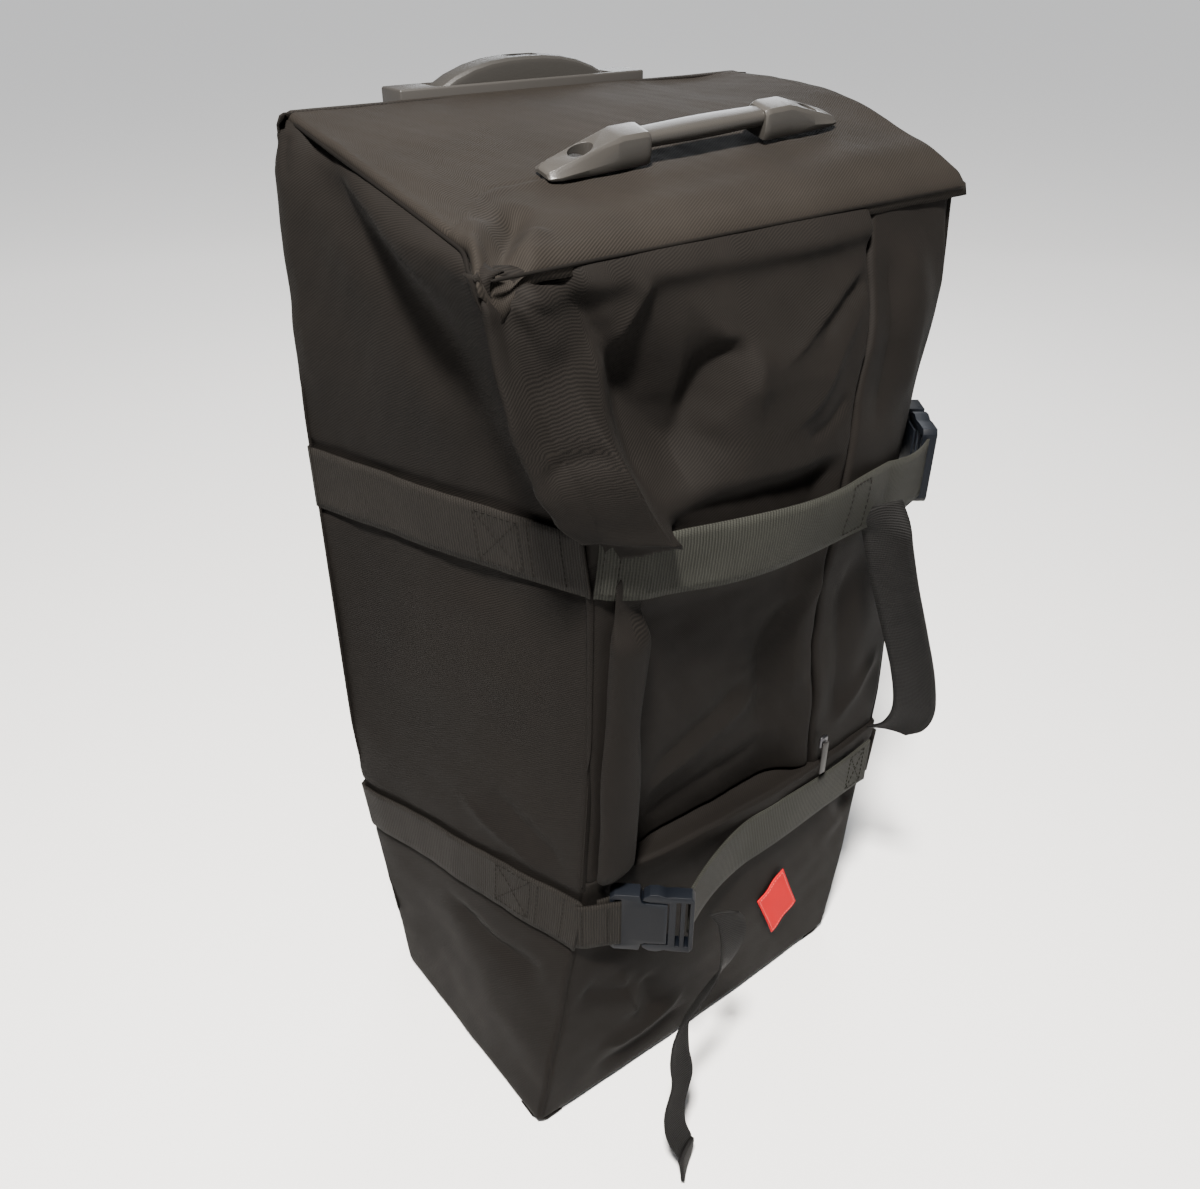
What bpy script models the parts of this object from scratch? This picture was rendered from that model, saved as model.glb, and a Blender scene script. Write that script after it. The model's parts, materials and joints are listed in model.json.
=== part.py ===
"""Wheeled travel duffel: a soft case on a moulded base, with a telescoping tow handle, two wheels,
a side-hinged front lid, two compression straps with side-release buckles and a moulded grab handle.

Metres, +Z up, front of the bag at -Y. The origin is the middle of the base, on the ground.
"""

import math

import bmesh
import bpy
from mathutils import Matrix, Vector

# ---- driving dimensions ----
CLEARANCE = 0.0005
CLOTH = 0.003
WEBBING = 0.0022
WEBBING_WIDTH = 0.050

HEIGHT_BACK = 0.800
HEIGHT_FRONT = 0.752
EDGE_Y_BACK = 0.115
EDGE_Y_FRONT = -0.115
TOP_CROWN = 0.010

# Half-way up, an empty bag draws in at its front left edge and swells forward under the upper strap.
# Each profile is a list of (height, value) that profile() joins with smooth steps.
BACK_X = ((0.0, 0.188), (0.15, 0.199), (0.33, 0.211), (0.60, 0.209), (0.80, 0.197))
LEFT_FRONT_X = ((0.0, -0.184), (0.05, -0.174), (0.14, -0.154), (0.26, -0.133), (0.42, -0.123),
                (0.52, -0.121), (0.58, -0.128), (0.67, -0.160), (0.752, -0.193))
RIGHT_FRONT_X = ((0.0, 0.184), (0.12, 0.198), (0.30, 0.211), (0.42, 0.204), (0.53, 0.180), (0.58, 0.182),
                 (0.68, 0.200), (0.752, 0.194))
SIDE_BOW = {-1: 0.003, 1: 0.018}
FRONT_SWELL = ((0.0, 0.004), (0.12, 0.010), (0.26, 0.010), (0.42, 0.022), (0.57, 0.050),
               (0.66, 0.040), (0.752, 0.002))

LID_LEFT_X = -0.108
LID_RIGHT_X = ((0.268, 0.113), (0.33, 0.103), (0.43, 0.080), (0.50, 0.064), (0.56, 0.057), (0.63, 0.068),
               (0.70, 0.093), (0.742, 0.102))
LID_LOW_Z = 0.268
LID_HIGH_Z = 0.742
LID_THICKNESS = 0.004
LID_AXIS_X = -0.116
LID_AXIS_Y = -0.132
LOWER_AXIS_X = 0.199
LOWER_AXIS_Y = -0.1225

TAPE_INSET = 0.009
TAPE_WIDTH = 0.008
TAPE_LIFT = 0.0016
TAPE_THICKNESS = 0.0009

SLIDER_Z = 0.300
SLIDER_X = 0.1165
SLIDER_HALF_X = 0.0045
SLIDER_HALF_Z = 0.006
SLIDER_DEPTH = 0.003
SLIDER_LIFT = 0.005
PULL_HALF_X = 0.0035
PULL_LENGTH = 0.034
PULL_THICKNESS = 0.0018

ROLL_RADIUS = 0.0115
ROLL_HIGH_X = -0.099
ROLL_LOW_X = -0.104
ROLL_LOW_Z = 0.285
ROLL_HIGH_Z = 0.515

UPPER_STRAP_Z = 0.556
LOWER_STRAP_Z = 0.232
STRAP_GAP = 0.0035

BUCKLE_HEIGHT = 0.062
BUCKLE_THICKNESS = 0.013
FEMALE_LENGTH = 0.042
MALE_LENGTH = 0.030
TONGUE_LENGTH = 0.006

TUBE_X = 0.055
TUBE_Y = 0.1305
OUTER_TUBE_RADIUS = 0.0100
INNER_TUBE_RADIUS = 0.0080
TUBE_WALL = 0.0013
OUTER_TUBE_LOW_Z = 0.0970
INNER_TUBE_LOW_Z = 0.270
BEZEL_LOW_Z = 0.770
BEZEL_HIGH_Z = 0.805
BEZEL_HALF_X = 0.1045
BEZEL_FRONT_Y = 0.1170
BEZEL_BACK_Y = 0.1445
SPINE_HALF_X = 0.103
SPINE_LOW_Z = 0.090
SPINE_WALL = 0.0025
GRIP_HALF_X = 0.0735
GRIP_LOW_Z = 0.785
GRIP_TOP_Z = 0.820
GRIP_DEPTH = 0.022
GRIP_DOME = 0.017
BUTTON_HALF_X = 0.0120
BUTTON_HALF_Y = 0.0060
BUTTON_LOW_Z = 0.8092
BUTTON_HIGH_Z = 0.8190
BUTTON_POCKET_LOW_Z = 0.8005

WHEEL_X = 0.150
WHEEL_Y = 0.110
WHEEL_Z = 0.036
WHEEL_RADIUS = 0.034
WHEEL_WIDTH = 0.026
HUB_RADIUS = 0.022
BEARING_RADIUS = 0.011
BEARING_WIDTH = 0.007
AXLE_RADIUS = 0.003
HOUSING_WIDTH = 0.048
HOUSING_LOW_Z = 0.008
HOUSING_HIGH_Z = 0.084

GRAB_X = 0.022
GRAB_Y = -0.0385
GRAB_HALF_LENGTH = 0.121
GRAB_BAR_HALF = 0.050
GRAB_BLOCK_HEIGHT = 0.026
GRAB_WIDTH = 0.028
GRAB_BAR_RADIUS = 0.0085
GRAB_BAR_HEIGHT = 0.0175
GRAB_SHOULDER = 0.006
GRAB_FOOT_HEIGHT = 0.005
GRAB_SCREW_INSET = 0.024

# The loose end of the lower strap: middle line from the buckle down to the ground.
TAIL_ROUTE = ((-0.0415, -0.1810, 0.238), (-0.034, -0.184, 0.222), (-0.034, -0.186, 0.200),
              (-0.042, -0.187, 0.178), (-0.064, -0.187, 0.160), (-0.084, -0.187, 0.140),
              (-0.090, -0.191, 0.112), (-0.092, -0.198, 0.088), (-0.104, -0.204, 0.066),
              (-0.107, -0.210, 0.046), (-0.103, -0.218, 0.026), (-0.105, -0.223, 0.004))
TAIL_WIDTH = 0.024

# The carry loop beside the right front corner: middle line from the upper strap to the lower one.
CARRY_ROUTE = ((0.112, -0.167, 0.512), (0.124, -0.170, 0.475), (0.146, -0.171, 0.425),
               (0.173, -0.169, 0.368), (0.194, -0.163, 0.318), (0.204, -0.150, 0.286),
               (0.203, -0.134, 0.270))
CARRY_WIDTH = 0.038


# ---- shape functions ----
def profile(table, height):
    """The value of a (height, value) table at a height, easing between its rows."""
    if height <= table[0][0]:
        return table[0][1]
    for (low, a), (high, b) in zip(table, table[1:]):
        if height <= high:
            share = (height - low) / (high - low)
            return a + (b - a) * (0.5 - 0.5 * math.cos(math.pi * share)) * 0.5 + (b - a) * share * 0.5
    return table[-1][1]


def top_z(x, y):
    """The height of the sloping top, which crowns more towards its right side."""
    share = (y - EDGE_Y_FRONT) / (EDGE_Y_BACK - EDGE_Y_FRONT)
    slope = HEIGHT_FRONT + (HEIGHT_BACK - HEIGHT_FRONT) * share
    return slope + TOP_CROWN * (1.0 + x / 0.2) * math.sin(math.pi * min(1.0, max(0.0, share)))


def front_y(x, z):
    """How far forward the front of the bag is at a place on it."""
    left, right = profile(LEFT_FRONT_X, z), profile(RIGHT_FRONT_X, z)
    share = min(1.0, max(0.0, (x - left) / (right - left)))
    return EDGE_Y_FRONT - profile(FRONT_SWELL, z) * math.sin(math.pi * share) ** 0.8


def smooth_route(points, count):
    """Points along a Catmull-Rom curve through the given points."""
    points = [Vector(p) for p in points]
    ends = [points[0] * 2 - points[1]] + points + [points[-1] * 2 - points[-2]]
    route = []
    for step in range(count):
        place = step / (count - 1) * (len(points) - 1)
        i = min(int(place), len(points) - 2)
        t = place - i
        a, b, c, d = ends[i:i + 4]
        route.append(0.5 * (2 * b + (c - a) * t + (2 * a - 5 * b + 4 * c - d) * t * t
                            + (3 * b - a - 3 * c + d) * t * t * t))
    return route


# ---- scene and materials ----
def clear_scene():
    for obj in list(bpy.data.objects):
        bpy.data.objects.remove(obj, do_unlink=True)


def new_collection(name, is_helper=False):
    collection = bpy.data.collections.new(name)
    bpy.context.scene.collection.children.link(collection)
    collection.hide_render = is_helper
    return collection


clear_scene()
BAG = new_collection("wheeled_travel_duffel")
CUTTERS = new_collection("cutters", is_helper=True)


def material(name, color, roughness, metallic=0.0):
    made = bpy.data.materials.new(name)
    made.use_nodes = True
    shader = made.node_tree.nodes["Principled BSDF"]
    shader.inputs["Base Color"].default_value = (*color, 1.0)
    shader.inputs["Roughness"].default_value = roughness
    shader.inputs["Metallic"].default_value = metallic
    return made


FABRIC = material("black_polyester", (0.022, 0.020, 0.019), 0.85)
WEB = material("black_webbing", (0.045, 0.047, 0.044), 0.75)
BUCKLE = material("black_acetal", (0.015, 0.016, 0.018), 0.35)
MOULDING = material("black_moulding", (0.020, 0.020, 0.021), 0.55)
HANDLE_GREY = material("grey_handle", (0.10, 0.10, 0.10), 0.45)
TUBE = material("aluminium_tube", (0.55, 0.56, 0.58), 0.30, 1.0)
STEEL = material("plated_steel", (0.60, 0.60, 0.62), 0.25, 1.0)
TYRE = material("wheel_tyre", (0.018, 0.018, 0.018), 0.70)
BOARD = material("stiffener_board", (0.06, 0.06, 0.06), 0.80)
LABEL = material("red_label", (0.62, 0.03, 0.04), 0.60)
ZIP = material("zip_coil", (0.012, 0.012, 0.012), 0.50)


def take_over(obj, name, look, collection=None):
    """Names the object, gives it its material and puts it in its collection only."""
    obj.name = name
    obj.data.name = name
    if look:
        obj.data.materials.clear()
        obj.data.materials.append(look)
    for home in list(obj.users_collection):
        home.objects.unlink(obj)
    (collection or BAG).objects.link(obj)
    return obj


def bevel(obj, width, segments=2):
    rounding = obj.modifiers.new("rounding", "BEVEL")
    rounding.width = width
    rounding.segments = segments
    rounding.limit_method = "ANGLE"
    return obj


def block(name, look, low, high, rounding=0.0, segments=2, collection=None):
    """A box between two corners, with rounded edges."""
    low, high = Vector(low), Vector(high)
    bpy.ops.mesh.primitive_cube_add(size=1.0, location=(low + high) / 2)
    obj = take_over(bpy.context.object, name, look, collection)
    obj.data.transform(Matrix.Diagonal((*(high - low), 1.0)))
    if rounding:
        bevel(obj, rounding, segments)
    return obj


def rod(name, look, start, end, radius, sides=20, collection=None):
    """A solid cylinder between two points."""
    start, end = Vector(start), Vector(end)
    bpy.ops.mesh.primitive_cylinder_add(vertices=sides, radius=radius, depth=(end - start).length,
                                        location=(start + end) / 2)
    obj = take_over(bpy.context.object, name, look, collection)
    obj.rotation_euler = (end - start).to_track_quat("Z", "Y").to_euler()
    obj.data.shade_smooth()
    obj.data.set_sharp_from_angle(angle=math.radians(40))
    return obj


def pipe(name, look, x, y, low_z, high_z, radius, wall, sides=20):
    """An upright tube, open at both ends."""
    bpy.ops.mesh.primitive_cylinder_add(vertices=sides, radius=radius, depth=high_z - low_z,
                                        end_fill_type="NOTHING", location=(x, y, (low_z + high_z) / 2))
    obj = take_over(bpy.context.object, name, look)
    thicken(obj, wall)
    return obj


def thicken(obj, thickness):
    shell = obj.modifiers.new("wall", "SOLIDIFY")
    shell.thickness = thickness
    shell.offset = -1.0
    shell.use_even_offset = True
    return obj


def cut(obj, cutter):
    cutter.hide_render = True
    cutter.display_type = "WIRE"
    trim = obj.modifiers.new("cut " + cutter.name, "BOOLEAN")
    trim.operation = "DIFFERENCE"
    trim.object = cutter
    return obj


def sheet(name, look, surface, columns, rows, thickness, flip=False):
    """A grid bent onto surface(u, v), u and v from 0 to 1, then thickened behind its face."""
    mesh = bpy.data.meshes.new(name)
    grid = bmesh.new()
    bmesh.ops.create_grid(grid, x_segments=columns, y_segments=rows, size=0.5)
    for vertex in grid.verts:
        vertex.co = Vector(surface(vertex.co.x + 0.5, vertex.co.y + 0.5))
    if flip:
        bmesh.ops.reverse_faces(grid, faces=grid.faces)
    grid.to_mesh(mesh)
    grid.free()
    mesh.shade_smooth()
    obj = take_over(bpy.data.objects.new(name, mesh), name, look)
    return thicken(obj, thickness)


def turned(name, look, outline, x, y, z, steps=32):
    """A ring about the X axis, from an outline of (along the axis, radius) points that run round it."""
    mesh = bpy.data.meshes.new(name)
    ring = bmesh.new()
    corners = [ring.verts.new((radius, 0.0, along)) for along, radius in outline]
    for a, b in zip(corners, corners[1:] + corners[:1]):
        ring.edges.new((a, b))
    ring.to_mesh(mesh)
    ring.free()
    obj = take_over(bpy.data.objects.new(name, mesh), name, look)
    obj.location = (x, y, z)
    obj.rotation_euler = (0.0, math.radians(90), 0.0)
    screw = obj.modifiers.new("turn", "SCREW")
    screw.steps = steps
    screw.render_steps = steps
    screw.use_merge_vertices = True
    screw.merge_threshold = 0.00001
    screw.use_smooth_shade = True
    return obj


def joined(base, *others):
    """Makes one body of the base and the others, which overlap it."""
    for other in others:
        other.hide_render = True
        other.display_type = "WIRE"
        union = base.modifiers.new("join " + other.name, "BOOLEAN")
        union.operation = "UNION"
        union.object = other
    return base


# ---- soft case ----
def side_panel(name, side):
    """side is -1 on the left and 1 on the right."""
    front_x = LEFT_FRONT_X if side < 0 else RIGHT_FRONT_X

    def surface(u, v):
        y_back, y_front = EDGE_Y_BACK - CLEARANCE, EDGE_Y_FRONT + 0.002
        y = y_back + (y_front - y_back) * u
        z = 0.006 + (top_z(side * 0.191, y) - 0.006 - CLOTH - 0.002) * v
        x_back, x_front = side * profile(BACK_X, z), profile(front_x, z)
        bulge = side * SIDE_BOW[side] * math.sin(math.pi * u) * math.sin(math.pi * v)
        return x_back + (x_front - x_back) * u + bulge, y, z

    return sheet(name, FABRIC, surface, 6, 12, CLOTH, flip=side > 0)


def back_panel():
    def surface(u, v):
        z = HOUSING_HIGH_Z + 0.004 + (0.788 - HOUSING_HIGH_Z - 0.004) * v
        half = profile(BACK_X, z) - 0.006
        return half * (1 - 2 * u), 0.1165, z

    return sheet("back_panel", FABRIC, surface, 3, 10, CLOTH)


def top_panel():
    def surface(u, v):
        x = -0.191 + 0.382 * u
        y = EDGE_Y_FRONT + 0.0015 + (EDGE_Y_BACK - EDGE_Y_FRONT - 0.003) * v
        return x, y, top_z(x, y)

    return sheet("top_panel", FABRIC, surface, 8, 6, CLOTH)


def front_sheet(name, left, right, low_z, high_z, columns, rows, thickness=CLOTH):
    """A piece of the front between two upright edges, each a function of height."""
    def surface(u, v):
        z = low_z + (high_z - low_z) * v
        x = left(z) + (right(z) - left(z)) * u
        return x, front_y(x, z), z

    return sheet(name, FABRIC, surface, columns, rows, thickness)


def front_panels():
    def left_edge(z):
        return profile(LEFT_FRONT_X, z) + 0.0045

    def right_edge(z):
        return profile(RIGHT_FRONT_X, z) - 0.0045

    front_sheet("lower_front_panel", left_edge, right_edge, 0.006, LID_LOW_Z - 0.003, 10, 5)
    front_sheet("left_front_border", left_edge, lambda z: LID_LEFT_X - 0.003,
                LID_LOW_Z, LID_HIGH_Z, 3, 12)
    front_sheet("right_front_border", lambda z: profile(LID_RIGHT_X, z) + 0.003, right_edge,
                LID_LOW_Z, LID_HIGH_Z, 5, 14)
    front_sheet("front_lid", lambda z: LID_LEFT_X, lambda z: profile(LID_RIGHT_X, z),
                LID_LOW_Z, LID_HIGH_Z, 8, 14, LID_THICKNESS)


def storm_roll():
    """The padded fabric roll that covers the lid's left edge."""
    ends = []
    for x, z in ((ROLL_LOW_X, ROLL_LOW_Z), (ROLL_HIGH_X, ROLL_HIGH_Z)):
        ends.append((x, front_y(x, z) - ROLL_RADIUS - 0.0025, z))
    roll = rod("storm_roll", FABRIC, ends[0], ends[1], ROLL_RADIUS, sides=16)
    return bevel(roll, 0.005, 2)


def label_patch():
    """A small oblong label sewn on at a slant, low on the front."""
    left_x, left_z, rise_x, rise_z, fall_x, fall_z = 0.057, 0.137, 0.030, 0.024, 0.028, -0.064

    def surface(u, v):
        x = left_x + rise_x * u + fall_x * (1.0 - v)
        z = left_z + rise_z * u + fall_z * (1.0 - v)
        return x, front_y(x, z) - 0.0018, z

    return sheet("label_patch", LABEL, surface, 3, 3, 0.0008)


def zip_tape():
    """The tape of the zip, sewn on along the lid's bottom, right side and top."""
    left = LID_LEFT_X + 0.030
    low, high = LID_LOW_Z + TAPE_INSET, LID_HIGH_Z - TAPE_INSET
    low_right, high_right = (profile(LID_RIGHT_X, z) - TAPE_INSET for z in (low, high))
    lengths = (low_right - left, high - low, high_right - left)

    def surface(u, v):
        reach = TAPE_WIDTH * (v - 0.5)
        place = u * sum(lengths)
        if place < lengths[0]:
            x, z = left + place, low - reach
        elif place < lengths[0] + lengths[1]:
            z = low + place - lengths[0]
            x = profile(LID_RIGHT_X, z) - TAPE_INSET + reach
        else:
            x, z = high_right - (place - lengths[0] - lengths[1]), high + reach
        return x, front_y(x, z) - TAPE_LIFT, z

    return sheet("zip_tape_lid", ZIP, surface, 44, 1, TAPE_THICKNESS)


# ---- straps and buckles ----
def ribbon(name, route, width, steps, flip=False):
    """A flat upright band of webbing that follows route(share, height)."""
    def surface(u, v):
        return route(u, (v - 0.5) * width)

    return sheet(name, WEB, surface, steps, 2, WEBBING, flip)


def side_strap(name, side, middle_z, front_end_y, front_end_z, lift):
    """A sewn length on one side, from the back edge forward, a little off the panel."""
    front_x = LEFT_FRONT_X if side < 0 else RIGHT_FRONT_X

    def route(share, up):
        z = middle_z + (front_end_z - middle_z) * share ** 2 + up
        y = EDGE_Y_BACK - 0.001 + (front_end_y - EDGE_Y_BACK) * share
        u = (EDGE_Y_BACK - y) / (EDGE_Y_BACK - EDGE_Y_FRONT)
        x_back, x_front = side * profile(BACK_X, z), profile(front_x, z)
        bulge = SIDE_BOW[side] * math.sin(math.pi * u) * math.sin(math.pi * z / 0.76)
        return x_back + (x_front - x_back) * u + side * (bulge + lift), y, z

    return ribbon(name, route, WEBBING_WIDTH - 0.002, 6, flip=side > 0)


# Each buckle lies across a front corner of the bag. Its middle is where the two halves meet.
UPPER_BUCKLE_MIDDLE = Vector((0.2035, -0.1160, 0.540))
UPPER_BUCKLE_ANGLE = 53.0 - 180.0


def upper_strap_z(x):
    """The middle of the upper strap, which drops a little towards its buckle."""
    share = min(1.0, max(0.0, (x - 0.060) / 0.12))
    return UPPER_STRAP_Z + (UPPER_BUCKLE_MIDDLE.z - UPPER_STRAP_Z) * share * share * (3 - 2 * share)


def upper_front_strap():
    """Sewn to the lid's left edge, it runs across the front and leaves it for the male buckle."""
    turn = Matrix.Rotation(math.radians(UPPER_BUCKLE_ANGLE), 3, "Z")
    end = UPPER_BUCKLE_MIDDLE + turn @ Vector((MALE_LENGTH + 0.0035, 0, 0))
    leave_x = 0.120

    def route(share, up):
        x = LID_LEFT_X + 0.001 + (end.x - LID_LEFT_X - 0.001) * share
        z = upper_strap_z(x) + up
        on_face = front_y(min(x, leave_x), z) - STRAP_GAP - WEBBING
        rise = max(0.0, (x - leave_x) / (end.x - leave_x))
        return x, on_face + (end.y - on_face) * rise ** 1.5, z

    return ribbon("upper_strap_front", route, WEBBING_WIDTH - 0.002, 22)


def buckle(prefix, place, inner_side):
    """A side-release pair along its local X, female at -X. inner_side is 1 or -1, its face to the bag."""
    half_z, half_t = BUCKLE_HEIGHT / 2, BUCKLE_THICKNESS / 2
    female = block(prefix + "_female", BUCKLE, (-FEMALE_LENGTH, -half_t, -half_z),
                   (-0.0006, half_t, half_z), 0.003)
    pocket = block(prefix + "_pocket", None, (-0.014, -half_t + 0.0018, -half_z + 0.006),
                   (0.02, half_t - 0.0018, half_z - 0.006), collection=CUTTERS)
    strap_slot = block(prefix + "_strap_slot", None, (-FEMALE_LENGTH + 0.005, -0.02, -0.0255),
                       (-FEMALE_LENGTH + 0.010, 0.02, 0.0255), collection=CUTTERS)
    cut(cut(female, pocket), strap_slot)
    male = block(prefix + "_male", BUCKLE, (0.0006, -half_t, -half_z), (MALE_LENGTH, half_t, half_z), 0.003)
    near, far = inner_side * (half_t - 0.0022), inner_side * (half_t - 0.0052)
    tongue = block(prefix + "_tongue", None, (-TONGUE_LENGTH, min(near, far), -half_z + 0.010),
                   (0.004, max(near, far), half_z - 0.010), collection=CUTTERS)
    joined(male, tongue)
    slots = [block(prefix + "_ladder_slot_%d" % i, None, (x, -0.02, -0.0255), (x + 0.004, 0.02, 0.0255),
                   collection=CUTTERS) for i, x in enumerate((0.012, 0.021))]
    for slot in slots:
        cut(male, slot)
    bpy.context.view_layer.update()
    for obj in (female, pocket, strap_slot, male, tongue, *slots):
        obj.matrix_world = place @ obj.matrix_world
    return female, male


LOWER_BUCKLE_START = Vector((-0.1085, -0.1265, LOWER_STRAP_Z))
LOWER_BUCKLE_ANGLE = -42.0


def upper_buckle():
    turn = Matrix.Rotation(math.radians(UPPER_BUCKLE_ANGLE), 4, "Z")
    return buckle("upper_buckle", Matrix.Translation(UPPER_BUCKLE_MIDDLE) @ turn, -1)


def lower_buckle():
    turn = Matrix.Rotation(math.radians(LOWER_BUCKLE_ANGLE), 4, "Z")
    middle = LOWER_BUCKLE_START + turn @ Vector((FEMALE_LENGTH, 0, 0))
    return buckle("lower_buckle", Matrix.Translation(middle) @ turn, 1)


def lower_front_strap():
    """From the right front corner across the front to the back of the lower male buckle."""
    end = LOWER_BUCKLE_START + Matrix.Rotation(math.radians(LOWER_BUCKLE_ANGLE), 3, "Z") @ Vector(
        (FEMALE_LENGTH + MALE_LENGTH - 0.004, BUCKLE_THICKNESS / 2 + 0.0030, 0))

    def route(share, up):
        z = LOWER_STRAP_Z + up
        x = 0.196 + (end.x - 0.196) * share
        on_face = front_y(x, z) - STRAP_GAP - WEBBING
        rise = max(0.0, (share - 0.62) / 0.38) ** 1.6
        return x, on_face + (end.y - on_face) * rise, z

    return ribbon("lower_strap_front", route, WEBBING_WIDTH - 0.002, 18, flip=True)


def banded_route(name, points, width, steps, across):
    """A band of webbing along a curve in space, its width along the given direction."""
    middle = smooth_route(points, steps + 1)

    def surface(u, v):
        place = middle[round(u * steps)]
        return place + Vector(across(u)) * width * (v - 0.5)

    return sheet(name, WEB, surface, steps, 1, WEBBING)


def lower_strap_tail():
    def across(u):
        angle = math.radians(-35 + 50 * math.sin(2.2 * math.pi * u))
        return math.cos(angle), math.sin(angle) * 0.8, 0.0

    return banded_route("lower_strap_tail", TAIL_ROUTE, TAIL_WIDTH, 26, across)


def carry_loop():
    def across(u):
        return 0.55, -0.83, 0.0

    return banded_route("carry_loop", CARRY_ROUTE, CARRY_WIDTH, 16, across)


# ---- base and wheels ----
def base_tray():
    tray = block("base_tray", MOULDING, (-0.170, -0.102, 0.0), (0.170, 0.0575, 0.032), 0.006, 3)
    hollow = block("base_tray_hollow", None, (-0.167, -0.099, 0.0035), (0.167, 0.0545, 0.10),
                   collection=CUTTERS)
    return cut(tray, hollow)


def kick_plate():
    """The moulded plate under and behind the bag between its wheels."""
    plate = block("kick_plate", MOULDING, (-0.118, 0.059, 0.0), (0.118, 0.1175, HOUSING_HIGH_Z), 0.004, 2)
    hollow = block("kick_plate_hollow", None, (-0.20, 0.02, 0.0035), (0.20, 0.1140, 0.20), collection=CUTTERS)
    return cut(plate, hollow)


def wheel_housing(name, side):
    x = side * WHEEL_X
    half = HOUSING_WIDTH / 2
    body = block(name, MOULDING, (x - half, 0.063, HOUSING_LOW_Z), (x + half, 0.146, HOUSING_HIGH_Z),
                 0.008, 3)
    well = block(name + "_well", None, (x - half + 0.007, 0.072, -0.05), (x + half - 0.007, 0.30, 0.0745),
                 0.004, collection=CUTTERS)
    bore = rod(name + "_bore", None, (x - 0.05, WHEEL_Y, WHEEL_Z), (x + 0.05, WHEEL_Y, WHEEL_Z),
               AXLE_RADIUS + CLEARANCE, sides=16, collection=CUTTERS)
    return cut(cut(body, well), bore)


def ring_outline(half_width, inner, outer, rounding, steps=0):
    """Runs round the section of a ring, outer side first, with outer corners rounded in a few steps."""
    if not steps:
        return [(half_width, outer), (-half_width, outer), (-half_width, inner), (half_width, inner)]
    points = []
    for corner in (1, -1):
        for step in range(steps + 1):
            angle = math.radians(90 * step / steps)
            along, out = math.cos(angle), math.sin(angle)
            if corner < 0:
                along, out = -out, along
            points.append((corner * (half_width - rounding) + rounding * along,
                           outer - rounding + rounding * out))
    return points + [(-half_width, inner), (half_width, inner)]


def wheel(side_name, side):
    x = side * WHEEL_X
    tyre = ring_outline(WHEEL_WIDTH / 2, HUB_RADIUS + 0.0003, WHEEL_RADIUS, 0.006, 2)
    turned("tyre_" + side_name, TYRE, tyre, x, WHEEL_Y, WHEEL_Z, 32)
    hub = ring_outline(WHEEL_WIDTH / 2 - 0.001, BEARING_RADIUS + 0.0003, HUB_RADIUS, 0.0)
    turned("wheel_hub_" + side_name, MOULDING, hub, x, WHEEL_Y, WHEEL_Z, 28)
    for end_name, end in (("inner", -side), ("outer", side)):
        middle = x + end * (WHEEL_WIDTH / 2 - BEARING_WIDTH / 2 - 0.0012)
        turned("bearing_%s_%s" % (side_name, end_name), STEEL,
               ring_outline(BEARING_WIDTH / 2, AXLE_RADIUS + 0.0003, BEARING_RADIUS, 0.0),
               middle, WHEEL_Y, WHEEL_Z, 20)
    reach = HOUSING_WIDTH / 2 - CLEARANCE
    rod("axle_" + side_name, STEEL, (x - reach, WHEEL_Y, WHEEL_Z), (x + reach, WHEEL_Y, WHEEL_Z),
        AXLE_RADIUS, 16)


# ---- tow handle ----
def spine_cover():
    """The moulded channel down the back that covers the handle's outer tubes."""
    cover = block("spine_cover", MOULDING, (-SPINE_HALF_X, 0.1180, SPINE_LOW_Z),
                  (SPINE_HALF_X, BEZEL_BACK_Y, BEZEL_LOW_Z - 0.001), 0.004, 3)
    hollow = block("spine_cover_hollow", None,
                   (SPINE_WALL - SPINE_HALF_X, 0.05, SPINE_LOW_Z + SPINE_WALL),
                   (SPINE_HALF_X - SPINE_WALL, BEZEL_BACK_Y - SPINE_WALL, 1.0), collection=CUTTERS)
    return cut(cover, hollow)


def handle_bezel():
    bezel = block("handle_bezel", MOULDING, (-BEZEL_HALF_X, BEZEL_FRONT_Y, BEZEL_LOW_Z),
                  (BEZEL_HALF_X, BEZEL_BACK_Y, BEZEL_HIGH_Z), 0.0015, 2)
    half_y = GRIP_DEPTH / 2 + 0.0006
    pocket = block("bezel_pocket", None, (-GRIP_HALF_X - 0.002, TUBE_Y - half_y, BEZEL_LOW_Z + 0.004),
                   (GRIP_HALF_X + 0.002, TUBE_Y + half_y, 0.9), collection=CUTTERS)
    cut(bezel, pocket)
    for side in (-1, 1):
        bore = rod("bezel_bore_%d" % side, None, (side * TUBE_X, TUBE_Y, 0.7), (side * TUBE_X, TUBE_Y, 0.9),
                   INNER_TUBE_RADIUS + 0.0006, collection=CUTTERS)
        cut(bezel, bore)
    return bezel


def tow_tubes():
    for side_name, side in (("left", -1), ("right", 1)):
        x = side * TUBE_X
        pipe("outer_tube_" + side_name, TUBE, x, TUBE_Y, OUTER_TUBE_LOW_Z, BEZEL_LOW_Z - 0.0005,
             OUTER_TUBE_RADIUS, TUBE_WALL)
        pipe("inner_tube_" + side_name, TUBE, x, TUBE_Y, INNER_TUBE_LOW_Z, GRIP_LOW_Z - 0.0004,
             INNER_TUBE_RADIUS, TUBE_WALL)


def tube_foot():
    """Holds the lower ends of both outer tubes to the frame."""
    foot = block("tube_foot", MOULDING, (-0.072, 0.1180, 0.0935), (0.072, 0.1415, 0.120), 0.001, 1)
    for side in (-1, 1):
        x = side * TUBE_X
        low_z = OUTER_TUBE_LOW_Z - CLEARANCE
        socket = rod("foot_socket_%d" % side, None, (x, TUBE_Y, low_z), (x, TUBE_Y, 0.2),
                     OUTER_TUBE_RADIUS + 0.0004, collection=CUTTERS)
        cut(foot, socket)
    return foot


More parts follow.
